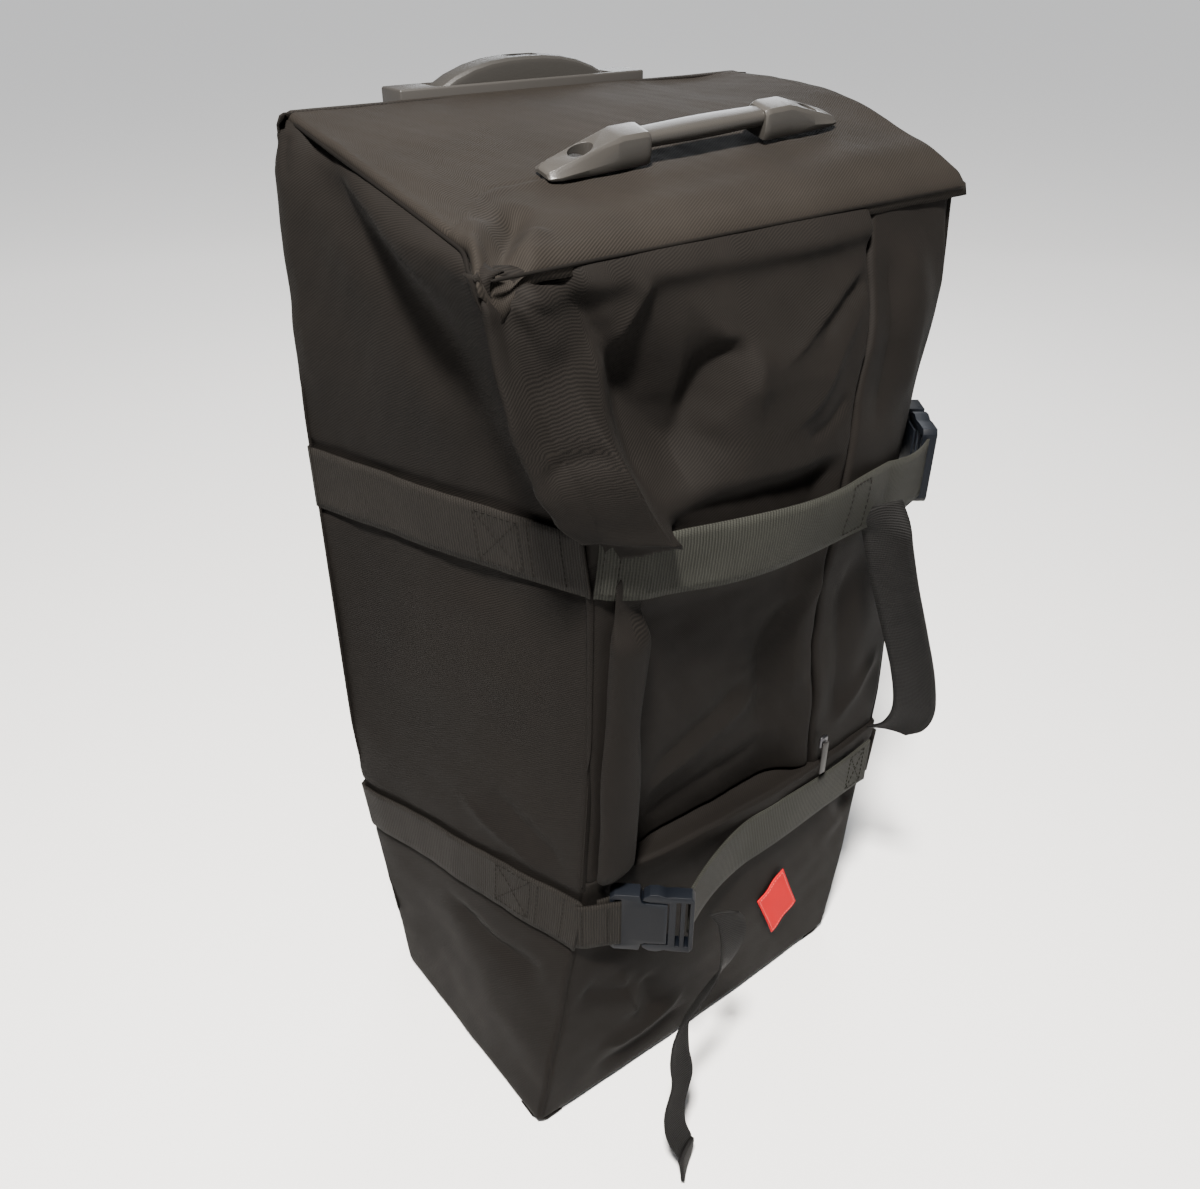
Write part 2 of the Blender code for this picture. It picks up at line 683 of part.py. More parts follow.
def tow_grip():
    """A low domed grip with a pocket for the release button."""
    grip = block("tow_grip", MOULDING, (-GRIP_HALF_X, TUBE_Y - GRIP_DEPTH / 2, GRIP_LOW_Z),
                 (GRIP_HALF_X, TUBE_Y + GRIP_DEPTH / 2, GRIP_TOP_Z))
    mesh = bmesh.new()
    mesh.from_mesh(grip.data)
    along = [edge for edge in mesh.edges if abs((edge.verts[0].co - edge.verts[1].co).x) > 0.1]
    bmesh.ops.subdivide_edges(mesh, edges=along, cuts=9)
    for vertex in mesh.verts:
        if vertex.co.z > 0:
            vertex.co.z -= GRIP_DOME * (abs(vertex.co.x) / GRIP_HALF_X) ** 2.6
    mesh.to_mesh(grip.data)
    mesh.free()
    bevel(grip, 0.005, 3)
    reach_x, reach_y = BUTTON_HALF_X + 0.0008, BUTTON_HALF_Y + 0.0008
    pocket = block("button_pocket", None, (-reach_x, TUBE_Y - reach_y, BUTTON_POCKET_LOW_Z),
                   (reach_x, TUBE_Y + reach_y, 0.9), 0.003, collection=CUTTERS)
    return cut(grip, pocket)


def release_button():
    return block("release_button", BUCKLE, (-BUTTON_HALF_X, TUBE_Y - BUTTON_HALF_Y, BUTTON_LOW_Z),
                 (BUTTON_HALF_X, TUBE_Y + BUTTON_HALF_Y, BUTTON_HIGH_Z), 0.0025, 2)


def button_spring():
    """A compression spring under the button."""
    turns, per_turn, radius = 4, 8, 0.0030
    curve = bpy.data.curves.new("button_spring", "CURVE")
    curve.dimensions = "3D"
    curve.bevel_depth = 0.0004
    curve.bevel_resolution = 0
    curve.use_fill_caps = True
    spline = curve.splines.new("POLY")
    count = turns * per_turn + 1
    spline.points.add(count - 1)
    for i in range(count):
        angle = 2 * math.pi * i / per_turn
        height = BUTTON_POCKET_LOW_Z + 0.0006 + 0.0076 * i / (count - 1)
        spline.points[i].co = (radius * math.cos(angle), TUBE_Y + radius * math.sin(angle), height, 1.0)
    return take_over(bpy.data.objects.new("button_spring", curve), "button_spring", STEEL)


# ---- grab handle ----
def grab_end(side_name, side, place):
    """A moulded end: a block that holds the bar, sloping down to a foot with its screw recess."""
    half = GRAB_WIDTH / 2
    far, near = side * GRAB_HALF_LENGTH, side * GRAB_BAR_HALF
    end = block("grab_handle_end_" + side_name, HANDLE_GREY, (min(far, near), -half, 0.0),
                (max(far, near), half, GRAB_BLOCK_HEIGHT), 0.003, 2)
    mesh = bmesh.new()
    mesh.from_mesh(end.data)
    lengthwise = [edge for edge in mesh.edges if abs((edge.verts[0].co - edge.verts[1].co).x) > 0.03]
    bmesh.ops.subdivide_edges(mesh, edges=lengthwise, cuts=1)
    for vertex in mesh.verts:
        outward = vertex.co.x * side
        if abs(outward) < 0.001:
            vertex.co.x -= side * GRAB_SHOULDER
        elif outward > 0 and vertex.co.z > 0:
            vertex.co.z -= GRAB_BLOCK_HEIGHT - GRAB_FOOT_HEIGHT
    mesh.to_mesh(end.data)
    mesh.free()
    screw_x = side * (GRAB_HALF_LENGTH - GRAB_SCREW_INSET)
    recess = rod("grab_recess_" + side_name, None, (screw_x, 0, 0.004), (screw_x, 0, 0.05), 0.0085, 20,
                 CUTTERS)
    recess.data.transform(Matrix.Diagonal((1.25, 1.0, 1.0, 1.0)))
    bore = rod("grab_bore_" + side_name, None, (screw_x, 0, -0.02), (screw_x, 0, 0.02), 0.0027, 16, CUTTERS)
    socket = rod("grab_socket_" + side_name, None, (near - side * 0.01, 0, GRAB_BAR_HEIGHT),
                 (near + side * 0.010, 0, GRAB_BAR_HEIGHT), GRAB_BAR_RADIUS + 0.0004, 20, CUTTERS)
    for cutter in (recess, bore, socket):
        cut(end, cutter)
    head = rod("grab_screw_" + side_name, STEEL, (screw_x, 0, 0.0044), (screw_x, 0, 0.0070), 0.0050, 16)
    shank = rod("grab_shank_" + side_name, None, (screw_x, 0, 0.0003), (screw_x, 0, 0.0060), 0.0024, 12,
                CUTTERS)
    joined(head, shank)
    bpy.context.view_layer.update()
    for obj in (end, recess, bore, socket, head, shank):
        obj.matrix_world = place @ obj.matrix_world


def grab_handle():
    """Stands square to the sloping top."""
    step = 0.01
    along = Vector((2 * step, 0, top_z(GRAB_X + step, GRAB_Y) - top_z(GRAB_X - step, GRAB_Y))).normalized()
    back = Vector((0, 2 * step, top_z(GRAB_X, GRAB_Y + step) - top_z(GRAB_X, GRAB_Y - step)))
    up = along.cross(back).normalized()
    turn = Matrix((along, up.cross(along), up)).transposed().to_4x4()
    place = Matrix.Translation((GRAB_X, GRAB_Y, top_z(GRAB_X, GRAB_Y) + 0.0014)) @ turn
    for side_name, side in (("left", -1), ("right", 1)):
        grab_end(side_name, side, place)
    reach = GRAB_BAR_HALF + 0.009
    bar = rod("grab_handle_bar", HANDLE_GREY, (-reach, 0, GRAB_BAR_HEIGHT), (reach, 0, GRAB_BAR_HEIGHT),
              GRAB_BAR_RADIUS, 20)
    plate = block("grab_backing_plate", BOARD, (-0.115, -0.018, -CLOTH - 0.0075),
                  (0.115, 0.018, -CLOTH - 0.0055))
    bpy.context.view_layer.update()
    for obj in (bar, plate):
        obj.matrix_world = place @ obj.matrix_world


# ---- zip slider ----
def zip_slider():
    """The slider sits beside the lid's right edge, with its pull tab hanging from it."""
    face = front_y(SLIDER_X, SLIDER_Z) - SLIDER_LIFT
    block("zip_slider", STEEL, (SLIDER_X - SLIDER_HALF_X, face - SLIDER_DEPTH, SLIDER_Z - SLIDER_HALF_Z),
          (SLIDER_X + SLIDER_HALF_X, face, SLIDER_Z + SLIDER_HALF_Z), 0.001, 1)
    hinge_y = zip_pull_hinge_y()
    half_y = PULL_THICKNESS / 2
    block("zip_pull_tab", MOULDING, (SLIDER_X - PULL_HALF_X, hinge_y - half_y, SLIDER_Z - PULL_LENGTH),
          (SLIDER_X + PULL_HALF_X, hinge_y + half_y, SLIDER_Z + PULL_THICKNESS / 3), 0.0005, 1)


def zip_pull_hinge_y():
    """The pull tab turns about a line just in front of the slider, clear of it by the tab's rounded end."""
    face = front_y(SLIDER_X, SLIDER_Z) - SLIDER_LIFT - SLIDER_DEPTH
    return face - PULL_THICKNESS / 2 - CLEARANCE


# ---- joint axes ----
def joint_axis(name, place, *pieces):
    """An empty on a joint's axis that carries the pieces that move with it."""
    axis = bpy.data.objects.new(name, None)
    BAG.objects.link(axis)
    axis.location = place
    bpy.context.view_layer.update()
    for piece in pieces:
        obj = bpy.data.objects[piece]
        obj.parent = axis
        obj.matrix_parent_inverse = axis.matrix_world.inverted()
    return axis


def joints():
    joint_axis("lid_hinge", (LID_AXIS_X, LID_AXIS_Y, (LID_LOW_Z + LID_HIGH_Z) / 2),
               "front_lid", "storm_roll", "zip_tape_lid", "upper_strap_front", "upper_buckle_male")
    joint_axis("lower_strap_hinge", (LOWER_AXIS_X, LOWER_AXIS_Y, LOWER_STRAP_Z),
               "lower_strap_front", "lower_strap_tail", "lower_buckle_male")
    tow = joint_axis("tow_handle_slide", (0.0, TUBE_Y, GRIP_LOW_Z),
                     "inner_tube_left", "inner_tube_right", "tow_grip", "button_spring")
    joint_axis("release_button_slide", (0.0, TUBE_Y, GRIP_TOP_Z), "release_button").parent = tow
    bpy.data.objects["release_button_slide"].matrix_parent_inverse = tow.matrix_world.inverted()
    for side_name, side in (("left", -1), ("right", 1)):
        joint_axis("wheel_axis_" + side_name, (side * WHEEL_X, WHEEL_Y, WHEEL_Z), "tyre_" + side_name,
                   "wheel_hub_" + side_name, "bearing_%s_inner" % side_name, "bearing_%s_outer" % side_name)
    joint_axis("zip_slider_run", (SLIDER_X, zip_pull_hinge_y(), SLIDER_Z - SLIDER_HALF_Z), "zip_slider")
    joint_axis("zip_pull_hinge", (SLIDER_X, zip_pull_hinge_y(), SLIDER_Z), "zip_pull_tab")


def build():
    side_panel("left_side_panel", -1)
    side_panel("right_side_panel", 1)
    back_panel()
    top_panel()
    front_panels()
    storm_roll()
    label_patch()
    zip_tape()
    side_strap("upper_strap_left", -1, UPPER_STRAP_Z, -0.100, UPPER_STRAP_Z + 0.010, 0.0075)
    side_strap("lower_strap_left", -1, LOWER_STRAP_Z, -0.100, LOWER_STRAP_Z, 0.0050)
    side_strap("upper_strap_right", 1, UPPER_STRAP_Z, -0.070, UPPER_BUCKLE_MIDDLE.z, 0.0045)
    side_strap("lower_strap_right", 1, LOWER_STRAP_Z, -0.100, LOWER_STRAP_Z, 0.0045)
    upper_front_strap()
    upper_buckle()
    lower_buckle()
    lower_front_strap()
    lower_strap_tail()
    carry_loop()
    block("back_board", BOARD, (-0.160, 0.1045, 0.095), (0.160, 0.1095, 0.765), 0.001, 1)
    base_tray()
    kick_plate()
    for side_name, side in (("left", -1), ("right", 1)):
        wheel_housing("wheel_housing_" + side_name, side)
        wheel(side_name, side)
    spine_cover()
    handle_bezel()
    tow_tubes()
    tube_foot()
    tow_grip()
    release_button()
    button_spring()
    grab_handle()
    zip_slider()
    joints()


build()
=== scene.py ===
"""The looks of a wheeled travel duffel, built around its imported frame: sagging woven panels, ribbed straps
with their stitching, moulded buckles and handles, and the wheeled base."""

import json
import math

import bmesh
import bpy
import numpy as np
from mathutils import Matrix, Vector


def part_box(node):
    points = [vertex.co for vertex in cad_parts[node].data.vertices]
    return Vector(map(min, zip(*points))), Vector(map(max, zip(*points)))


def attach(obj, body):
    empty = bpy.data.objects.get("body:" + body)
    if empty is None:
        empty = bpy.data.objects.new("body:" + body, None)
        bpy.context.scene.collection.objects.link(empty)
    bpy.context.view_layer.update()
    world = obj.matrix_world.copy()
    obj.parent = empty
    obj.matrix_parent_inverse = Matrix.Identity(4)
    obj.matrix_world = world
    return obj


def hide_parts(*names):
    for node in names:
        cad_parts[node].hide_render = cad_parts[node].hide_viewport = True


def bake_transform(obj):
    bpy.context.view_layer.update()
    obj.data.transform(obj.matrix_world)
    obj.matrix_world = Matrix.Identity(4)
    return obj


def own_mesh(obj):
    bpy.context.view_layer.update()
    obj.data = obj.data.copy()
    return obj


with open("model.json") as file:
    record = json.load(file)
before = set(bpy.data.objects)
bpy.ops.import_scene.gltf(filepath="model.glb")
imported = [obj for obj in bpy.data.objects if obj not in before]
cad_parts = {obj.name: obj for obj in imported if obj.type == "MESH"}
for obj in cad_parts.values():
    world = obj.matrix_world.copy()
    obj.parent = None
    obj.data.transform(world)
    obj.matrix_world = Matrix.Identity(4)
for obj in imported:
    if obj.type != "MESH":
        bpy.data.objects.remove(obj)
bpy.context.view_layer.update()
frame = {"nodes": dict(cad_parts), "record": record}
NODES = frame["nodes"]

# ---- the bag's form, in metres: the same outline as the frame's panels ----
HEIGHT_BACK = 0.8
HEIGHT_FRONT = 0.752
EDGE_Y = 0.115
DEPTH = 2 * EDGE_Y
TOP_CROWN = 0.01
BACK_X = ((0.0, 0.188), (0.15, 0.199), (0.33, 0.211), (0.6, 0.209), (0.8, 0.197))
LEFT_FRONT_X = ((0.0, -0.184), (0.05, -0.174), (0.14, -0.154), (0.26, -0.133), (0.42, -0.123),
                (0.52, -0.121), (0.58, -0.128), (0.67, -0.16), (0.752, -0.193))
RIGHT_FRONT_X = ((0.0, 0.184), (0.12, 0.198), (0.3, 0.211), (0.42, 0.204), (0.53, 0.18), (0.58, 0.182),
                 (0.68, 0.2), (0.752, 0.194))
SIDE_BOW = {-1: 0.003, 1: 0.018}
FRONT_SWELL = ((0.0, 0.004), (0.12, 0.01), (0.26, 0.01), (0.42, 0.022), (0.57, 0.05),
               (0.66, 0.04), (0.752, 0.002))
LID_SEAM_X = ((0.268, 0.113), (0.33, 0.103), (0.43, 0.08), (0.5, 0.064), (0.56, 0.057), (0.63, 0.068),
              (0.7, 0.093), (0.742, 0.102))
# Where the fabric over the upper strap hangs furthest to the left, and how far forward it stands there.
OVERHANG_X = ((0.3, -0.124), (0.52, -0.1225), (0.575, -0.127), (0.592, -0.142), (0.612, -0.16),
              (0.635, -0.173), (0.67, -0.184), (0.71, -0.189), (0.752, -0.194))
OVERHANG_Y = ((0.3, 0.0), (0.54, 0.0), (0.575, 0.004), (0.595, 0.019), (0.63, 0.021), (0.67, 0.014),
              (0.71, 0.006), (0.752, 0.001))
LID_LOW_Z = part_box("front_lid")[0].z
LID_HIGH_Z = HEIGHT_FRONT - 0.0035
LID_LEFT_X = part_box("front_lid")[0].x
CLOTH_THICKNESS = 0.0016
WEBBING_THICKNESS = 0.0018
WEBBING_WIDTH = 0.048
WRAP_WIDTH = 0.0475
UPPER_STRAP_Z = 0.556             # the upper strap drops to its buckle, right of the lid
UPPER_BUCKLE_Z = 0.54
LOWER_STRAP_Z = 0.232
SAG_FLOOR_Z = 0.5815              # the upper strap's top edge, which hanging cloth never passes
GRAB_X, GRAB_Y = 0.022, -0.0385   # the grab handle's middle
BUTTON_Y = 0.1305
WHEEL_MIDDLE = (0.15, 0.11, 0.036)


# ---- shape functions, on numpy arrays ----
def profile(table, height):
    """The value of a (height, value) table at each height, easing between its rows."""
    heights, values = np.array(table, float).T
    height = np.asarray(height, float)
    row = np.clip(np.searchsorted(heights, height, side="right") - 1, 0, len(heights) - 2)
    share = np.clip((height - heights[row]) / (heights[row + 1] - heights[row]), 0.0, 1.0)
    ease = 0.25 - 0.25 * np.cos(np.pi * share) + 0.5 * share
    return values[row] + (values[row + 1] - values[row]) * ease


def top_z(x, y):
    share = (y + EDGE_Y) / DEPTH
    crown = TOP_CROWN * (1.0 + x / 0.2) * np.sin(np.pi * np.clip(share, 0.0, 1.0))
    return HEIGHT_FRONT + (HEIGHT_BACK - HEIGHT_FRONT) * share + crown


def front_y(x, z):
    left, right = profile(LEFT_FRONT_X, z), profile(RIGHT_FRONT_X, z)
    share = np.clip((x - left) / (right - left), 0.0, 1.0)
    return -EDGE_Y - profile(FRONT_SWELL, z) * np.sin(np.pi * share) ** 0.8


def side_x(side, y, z):
    """How far out a side of the bag is."""
    share = np.clip((EDGE_Y - y) / DEPTH, 0.0, 1.0)
    back = side * profile(BACK_X, z)
    front = profile(LEFT_FRONT_X if side < 0 else RIGHT_FRONT_X, z)
    bow = SIDE_BOW[side] * np.sin(np.pi * share) * np.sin(np.pi * np.clip(z / 0.77, 0.0, 1.0))
    return back + (front - back) * share + side * bow


def smoothstep(low, high, value):
    share = np.clip((value - low) / (high - low), 0.0, 1.0)
    return share * share * (3.0 - 2.0 * share)


def points_of(*axes):
    """Rows of coordinates, where an axis may be a single number."""
    return np.column_stack(np.broadcast_arrays(*axes))


def rounded(distance, radius):
    """How far a surface falls away near an edge that is rounded off to this radius."""
    inside = np.clip(radius - distance, 0.0, radius)
    return radius - np.sqrt(radius * radius - inside * inside)


def smooth_path(points, count):
    """Points along a Catmull-Rom curve through the given points."""
    points = np.array(points, float)
    ends = np.vstack([2 * points[0] - points[1], points, 2 * points[-1] - points[-2]])
    place = np.linspace(0.0, len(points) - 1.0, count)
    i = np.minimum(place.astype(int), len(points) - 2)
    t = (place - i)[:, None]
    a, b, c, d = ends[i], ends[i + 1], ends[i + 2], ends[i + 3]
    return 0.5 * (2 * b + (c - a) * t + (2 * a - 5 * b + 4 * c - d) * t ** 2
                  + (3 * b - a - 3 * c + d) * t ** 3)


def from_path(spots, path):
    """For each 2D spot: its distance from the path, which side of it, and its share of the way along."""
    path = smooth_path(path, 6 * len(path)) if len(path) > 2 else np.array(path, float)
    best = np.full(len(spots), 1e9)
    side, share = np.ones(len(spots)), np.zeros(len(spots))
    lengths = np.linalg.norm(np.diff(path, axis=0), axis=1)
    starts = np.concatenate([[0.0], np.cumsum(lengths)])
    for start, run, a, b in zip(starts, lengths, path, path[1:]):
        along = (b - a) / run
        offset = spots - a
        reach = np.clip(offset @ along, 0.0, run)
        gap = np.linalg.norm(offset - reach[:, None] * along, axis=1)
        nearer = gap < best
        best = np.where(nearer, gap, best)
        side = np.where(nearer, np.sign(along[0] * offset[:, 1] - along[1] * offset[:, 0]), side)
        share = np.where(nearer, (start + reach) / starts[-1], share)
    return best, side, share


def fold(a, b, path, height, left=0.01, right=0.01, crisp=0.4, rise=0.25, fade=0.25):
    """A crease along a path: its height is met at its middle and falls off over its left and right widths.
    crisp 1 gives a knife edge, and rise and fade are the shares of its length over which its ends die out."""
    gap, side, share = from_path(points_of(a, b), path)
    width = np.where(side > 0, left, right)
    body = (1 - crisp) * np.exp(-(gap / width) ** 2) + crisp * np.exp(-1.7 * gap / width)
    ends = smoothstep(0.0, max(rise, 1e-3), share) * smoothstep(0.0, max(fade, 1e-3), 1.0 - share)
    return height * body * ends


def bump(a, b, middle, radii, height):
    """A soft mound, or a hollow when its height is negative."""
    reach = np.hypot((a - middle[0]) / radii[0], (b - middle[1]) / radii[1])
    return height * np.exp(-reach ** 2.0)


def metres(value):
    return np.array(value, float) / 1000.0


def shaped(a, b, rows):
    """The sum of a table's rows, which are in millimetres. A fold's row is its path, height, left and right
    widths, and then its crisp, rise and fade. A bump's row is its middle, radii and height."""
    total = np.zeros_like(a)
    for place, *rest in rows:
        if isinstance(place[0], tuple):
            height, left, right = metres(rest[:3])
            total += fold(a, b, metres(place), height, left, right, *rest[3:])
        else:
            total += bump(a, b, metres(place), metres(rest[0]), rest[1] / 1000.0)
    return total


WAVES = np.random.default_rng(7).uniform(-1.0, 1.0, (14, 4))


def ripple(a, b, size, height, seed=0):
    """Slow irregular unevenness of cloth, about this size across."""
    total = np.zeros_like(a)
    for k, (p, q, r, s) in enumerate(WAVES):
        scale = (1.0 + 0.35 * (k % 5)) * 2.0 * math.pi / size
        total += np.sin((a * p + b * q) * scale + 3.0 * r + seed) * (0.6 + 0.4 * s)
    return height * total / 4.0


# ---- meshes ----
def link(obj):
    bpy.context.scene.collection.objects.link(obj)
    return obj


def finished(obj, look, body, slot, *nodes):
    """Gives a piece its material, its body and the frame nodes that it stands for.
    A piece given no body is left unattached."""
    obj.data.materials.clear()
    obj.data.materials.append(look)
    if body:
        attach(obj, body)
    if nodes:
        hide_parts(*nodes)
    return obj


def grid_mesh(name, points, across, up, flip=False, closed=False):
    """A quad grid of (up + 1) rows of (across + 1) points, with its UV map in metres of cloth."""
    points = points.reshape(up + 1, across + 1, 3)
    mesh = bpy.data.meshes.new(name)
    index = np.arange((up + 1) * (across + 1)).reshape(up + 1, across + 1)
    quads = np.stack([index[:-1, :-1], index[:-1, 1:], index[1:, 1:], index[1:, :-1]], axis=-1).reshape(-1, 4)
    if flip:
        quads = quads[:, ::-1]
    mesh.from_pydata(points.reshape(-1, 3).tolist(), [], quads.tolist())
    along = np.zeros((up + 1, across + 1))
    along[:, 1:] = np.cumsum(np.linalg.norm(np.diff(points, axis=1), axis=2), axis=1)
    along -= along[:, across // 2][:, None]
    rise = np.zeros((up + 1, across + 1))
    rise[1:] = np.cumsum(np.linalg.norm(np.diff(points, axis=0), axis=2), axis=0)
    flat = np.stack([along, rise], axis=-1).reshape(-1, 2)
    uv = mesh.uv_layers.new(name="cloth")
    loops = np.empty(len(mesh.loops), np.int32)
    mesh.loops.foreach_get("vertex_index", loops)
    uv.data.foreach_set("uv", flat[loops].ravel())
    mesh.shade_smooth()
    if closed:
        body = bmesh.new()
        body.from_mesh(mesh)
        bmesh.ops.remove_doubles(body, verts=body.verts, dist=1e-6)
        body.to_mesh(mesh)
        body.free()
    return link(bpy.data.objects.new(name, mesh))


def panel(name, surface, across, up, flip=False, thickness=CLOTH_THICKNESS):
    """A cloth panel bent onto surface(u, v), with its thickness behind its face."""
    u, v = np.meshgrid(np.linspace(0.0, 1.0, across + 1), np.linspace(0.0, 1.0, up + 1))
    x, y, z = surface(u.ravel(), v.ravel())
    return thickened(grid_mesh(name, points_of(x, y, z), across, up, flip), thickness)


def thickened(obj, thickness, offset=-1.0):
    shell = obj.modifiers.new("thickness", "SOLIDIFY")
    shell.thickness = thickness
    shell.offset = offset
    shell.use_even_offset = False
    return obj


def strip(name, middle, across, width, thickness=WEBBING_THICKNESS, columns=8, crown=0.0):
    """Webbing along a middle line, with its width along the given directions."""
    middle, across = np.array(middle, float), np.array(across, float)
    across = across / np.linalg.norm(across, axis=1)[:, None]
    tangent = np.gradient(middle, axis=0)
    normal = np.cross(across, tangent)
    normal /= np.maximum(np.linalg.norm(normal, axis=1), 1e-9)[:, None]
    rows = []
    for j in range(columns + 1):
        reach = j / columns - 0.5
        rows.append(middle + across * width * reach + normal * crown * (1.0 - 4.0 * reach * reach))
    obj = grid_mesh(name, np.array(rows), len(middle) - 1, columns)
    return thickened(obj, thickness, 0.0)


def tube(name, middle, radius, sides):
    """A closed tube along a line, narrowed at both ends."""
    middle = np.array(middle, float)
    count = len(middle)
    tangent = np.gradient(middle, axis=0)
    tangent /= np.linalg.norm(tangent, axis=1)[:, None]
    helper = np.array([0.0, 0.0, 1.0]) if abs(tangent[:, 2]).mean() < 0.7 else np.array([1.0, 0.0, 0.0])
    first = np.cross(tangent, helper)
    first /= np.linalg.norm(first, axis=1)[:, None]
    second = np.cross(tangent, first)
    rows = []
    for i in range(count):
        scale = radius * (0.45 if i in (0, count - 1) else 1.0)
        angle = np.linspace(0.0, 2 * np.pi, sides, endpoint=False)[:, None]
        rows.append(middle[i] + scale * (first[i] * np.cos(angle) + second[i] * np.sin(angle)))
    verts = np.concatenate(rows)
    faces = []
    for start in range(0, (count - 1) * sides, sides):
        for j in range(sides):
            k = (j + 1) % sides
            faces.append([start + j, start + k, start + sides + k, start + sides + j])
    faces += [list(range(sides))[::-1], [(count - 1) * sides + j for j in range(sides)]]
    mesh = bpy.data.meshes.new(name)
    mesh.from_pydata(verts.tolist(), [], faces)
    mesh.shade_smooth()
    return link(bpy.data.objects.new(name, mesh))


def joined(name, objects):
    """Several meshes as one object."""
    bpy.ops.object.select_all(action="DESELECT")
    for obj in objects:
        obj.select_set(True)
    bpy.context.view_layer.objects.active = objects[0]
    if len(objects) > 1:
        bpy.ops.object.join()
    objects[0].name = name
    objects[0].data.name = name
    return objects[0]


def stitches(name, lines, length=0.0032, gap=0.0014, radius=0.00042):
    """Thread: short raised stitches along lines of points."""
    verts, faces = [], []
    for line in lines:
        line = np.array(line, float)
        steps = np.linalg.norm(np.diff(line, axis=0), axis=1)
        place = np.concatenate([[0.0], np.cumsum(steps)])
        count = max(1, int(place[-1] / (length + gap)))
        pitch = place[-1] / count
        for k in range(count):
            spots = []
            for share in (0.0, 0.5, 1.0):
                at = k * pitch + share * length
                spots.append([np.interp(at, place, line[:, axis]) for axis in range(3)])
            a, m, b = np.array(spots)
            along = (b - a) / max(np.linalg.norm(b - a), 1e-9)
            side = np.cross(along, [0.0, 0.0, 1.0] if abs(along[2]) < 0.8 else [1.0, 0.0, 0.0])
            side /= np.linalg.norm(side)
            up = np.cross(side, along)
            base = len(verts)
            for centre, scale in ((a, 0.35), (a + (m - a) * 0.5, 1.0), (m + (b - m) * 0.5, 1.0), (b, 0.35)):
                for corner in range(6):
                    angle = math.pi * corner / 3
                    verts.append(centre + radius * scale * (side * math.cos(angle) + up * math.sin(angle)))
            for ring in range(3):
                for corner in range(6):
                    n = (corner + 1) % 6
                    faces.append([base + ring * 6 + corner, base + ring * 6 + n,
                                  base + ring * 6 + 6 + n, base + ring * 6 + 6 + corner])
            faces.append([base + c for c in range(5, -1, -1)])
            faces.append([base + 18 + c for c in range(6)])
    mesh = bpy.data.meshes.new(name)
    mesh.from_pydata([list(v) for v in verts], [], faces)
    mesh.shade_smooth()
    return link(bpy.data.objects.new(name, mesh))


# ---- materials ----
def new_material(name, color, roughness, metallic=0.0, sheen=0.0, gloss=0.5):
    made = bpy.data.materials.new(name)
    made.use_nodes = True
    shader = made.node_tree.nodes["Principled BSDF"]
    shader.inputs["Base Color"].default_value = (*color, 1.0)
    shader.inputs["Roughness"].default_value = roughness
    shader.inputs["Metallic"].default_value = metallic
    shader.inputs["Sheen Weight"].default_value = sheen
    shader.inputs["Specular IOR Level"].default_value = gloss
    shader.inputs["Sheen Roughness"].default_value = 0.45
    shader.inputs["Sheen Tint"].default_value = (0.9, 0.86, 0.8, 1.0)
    return made, shader


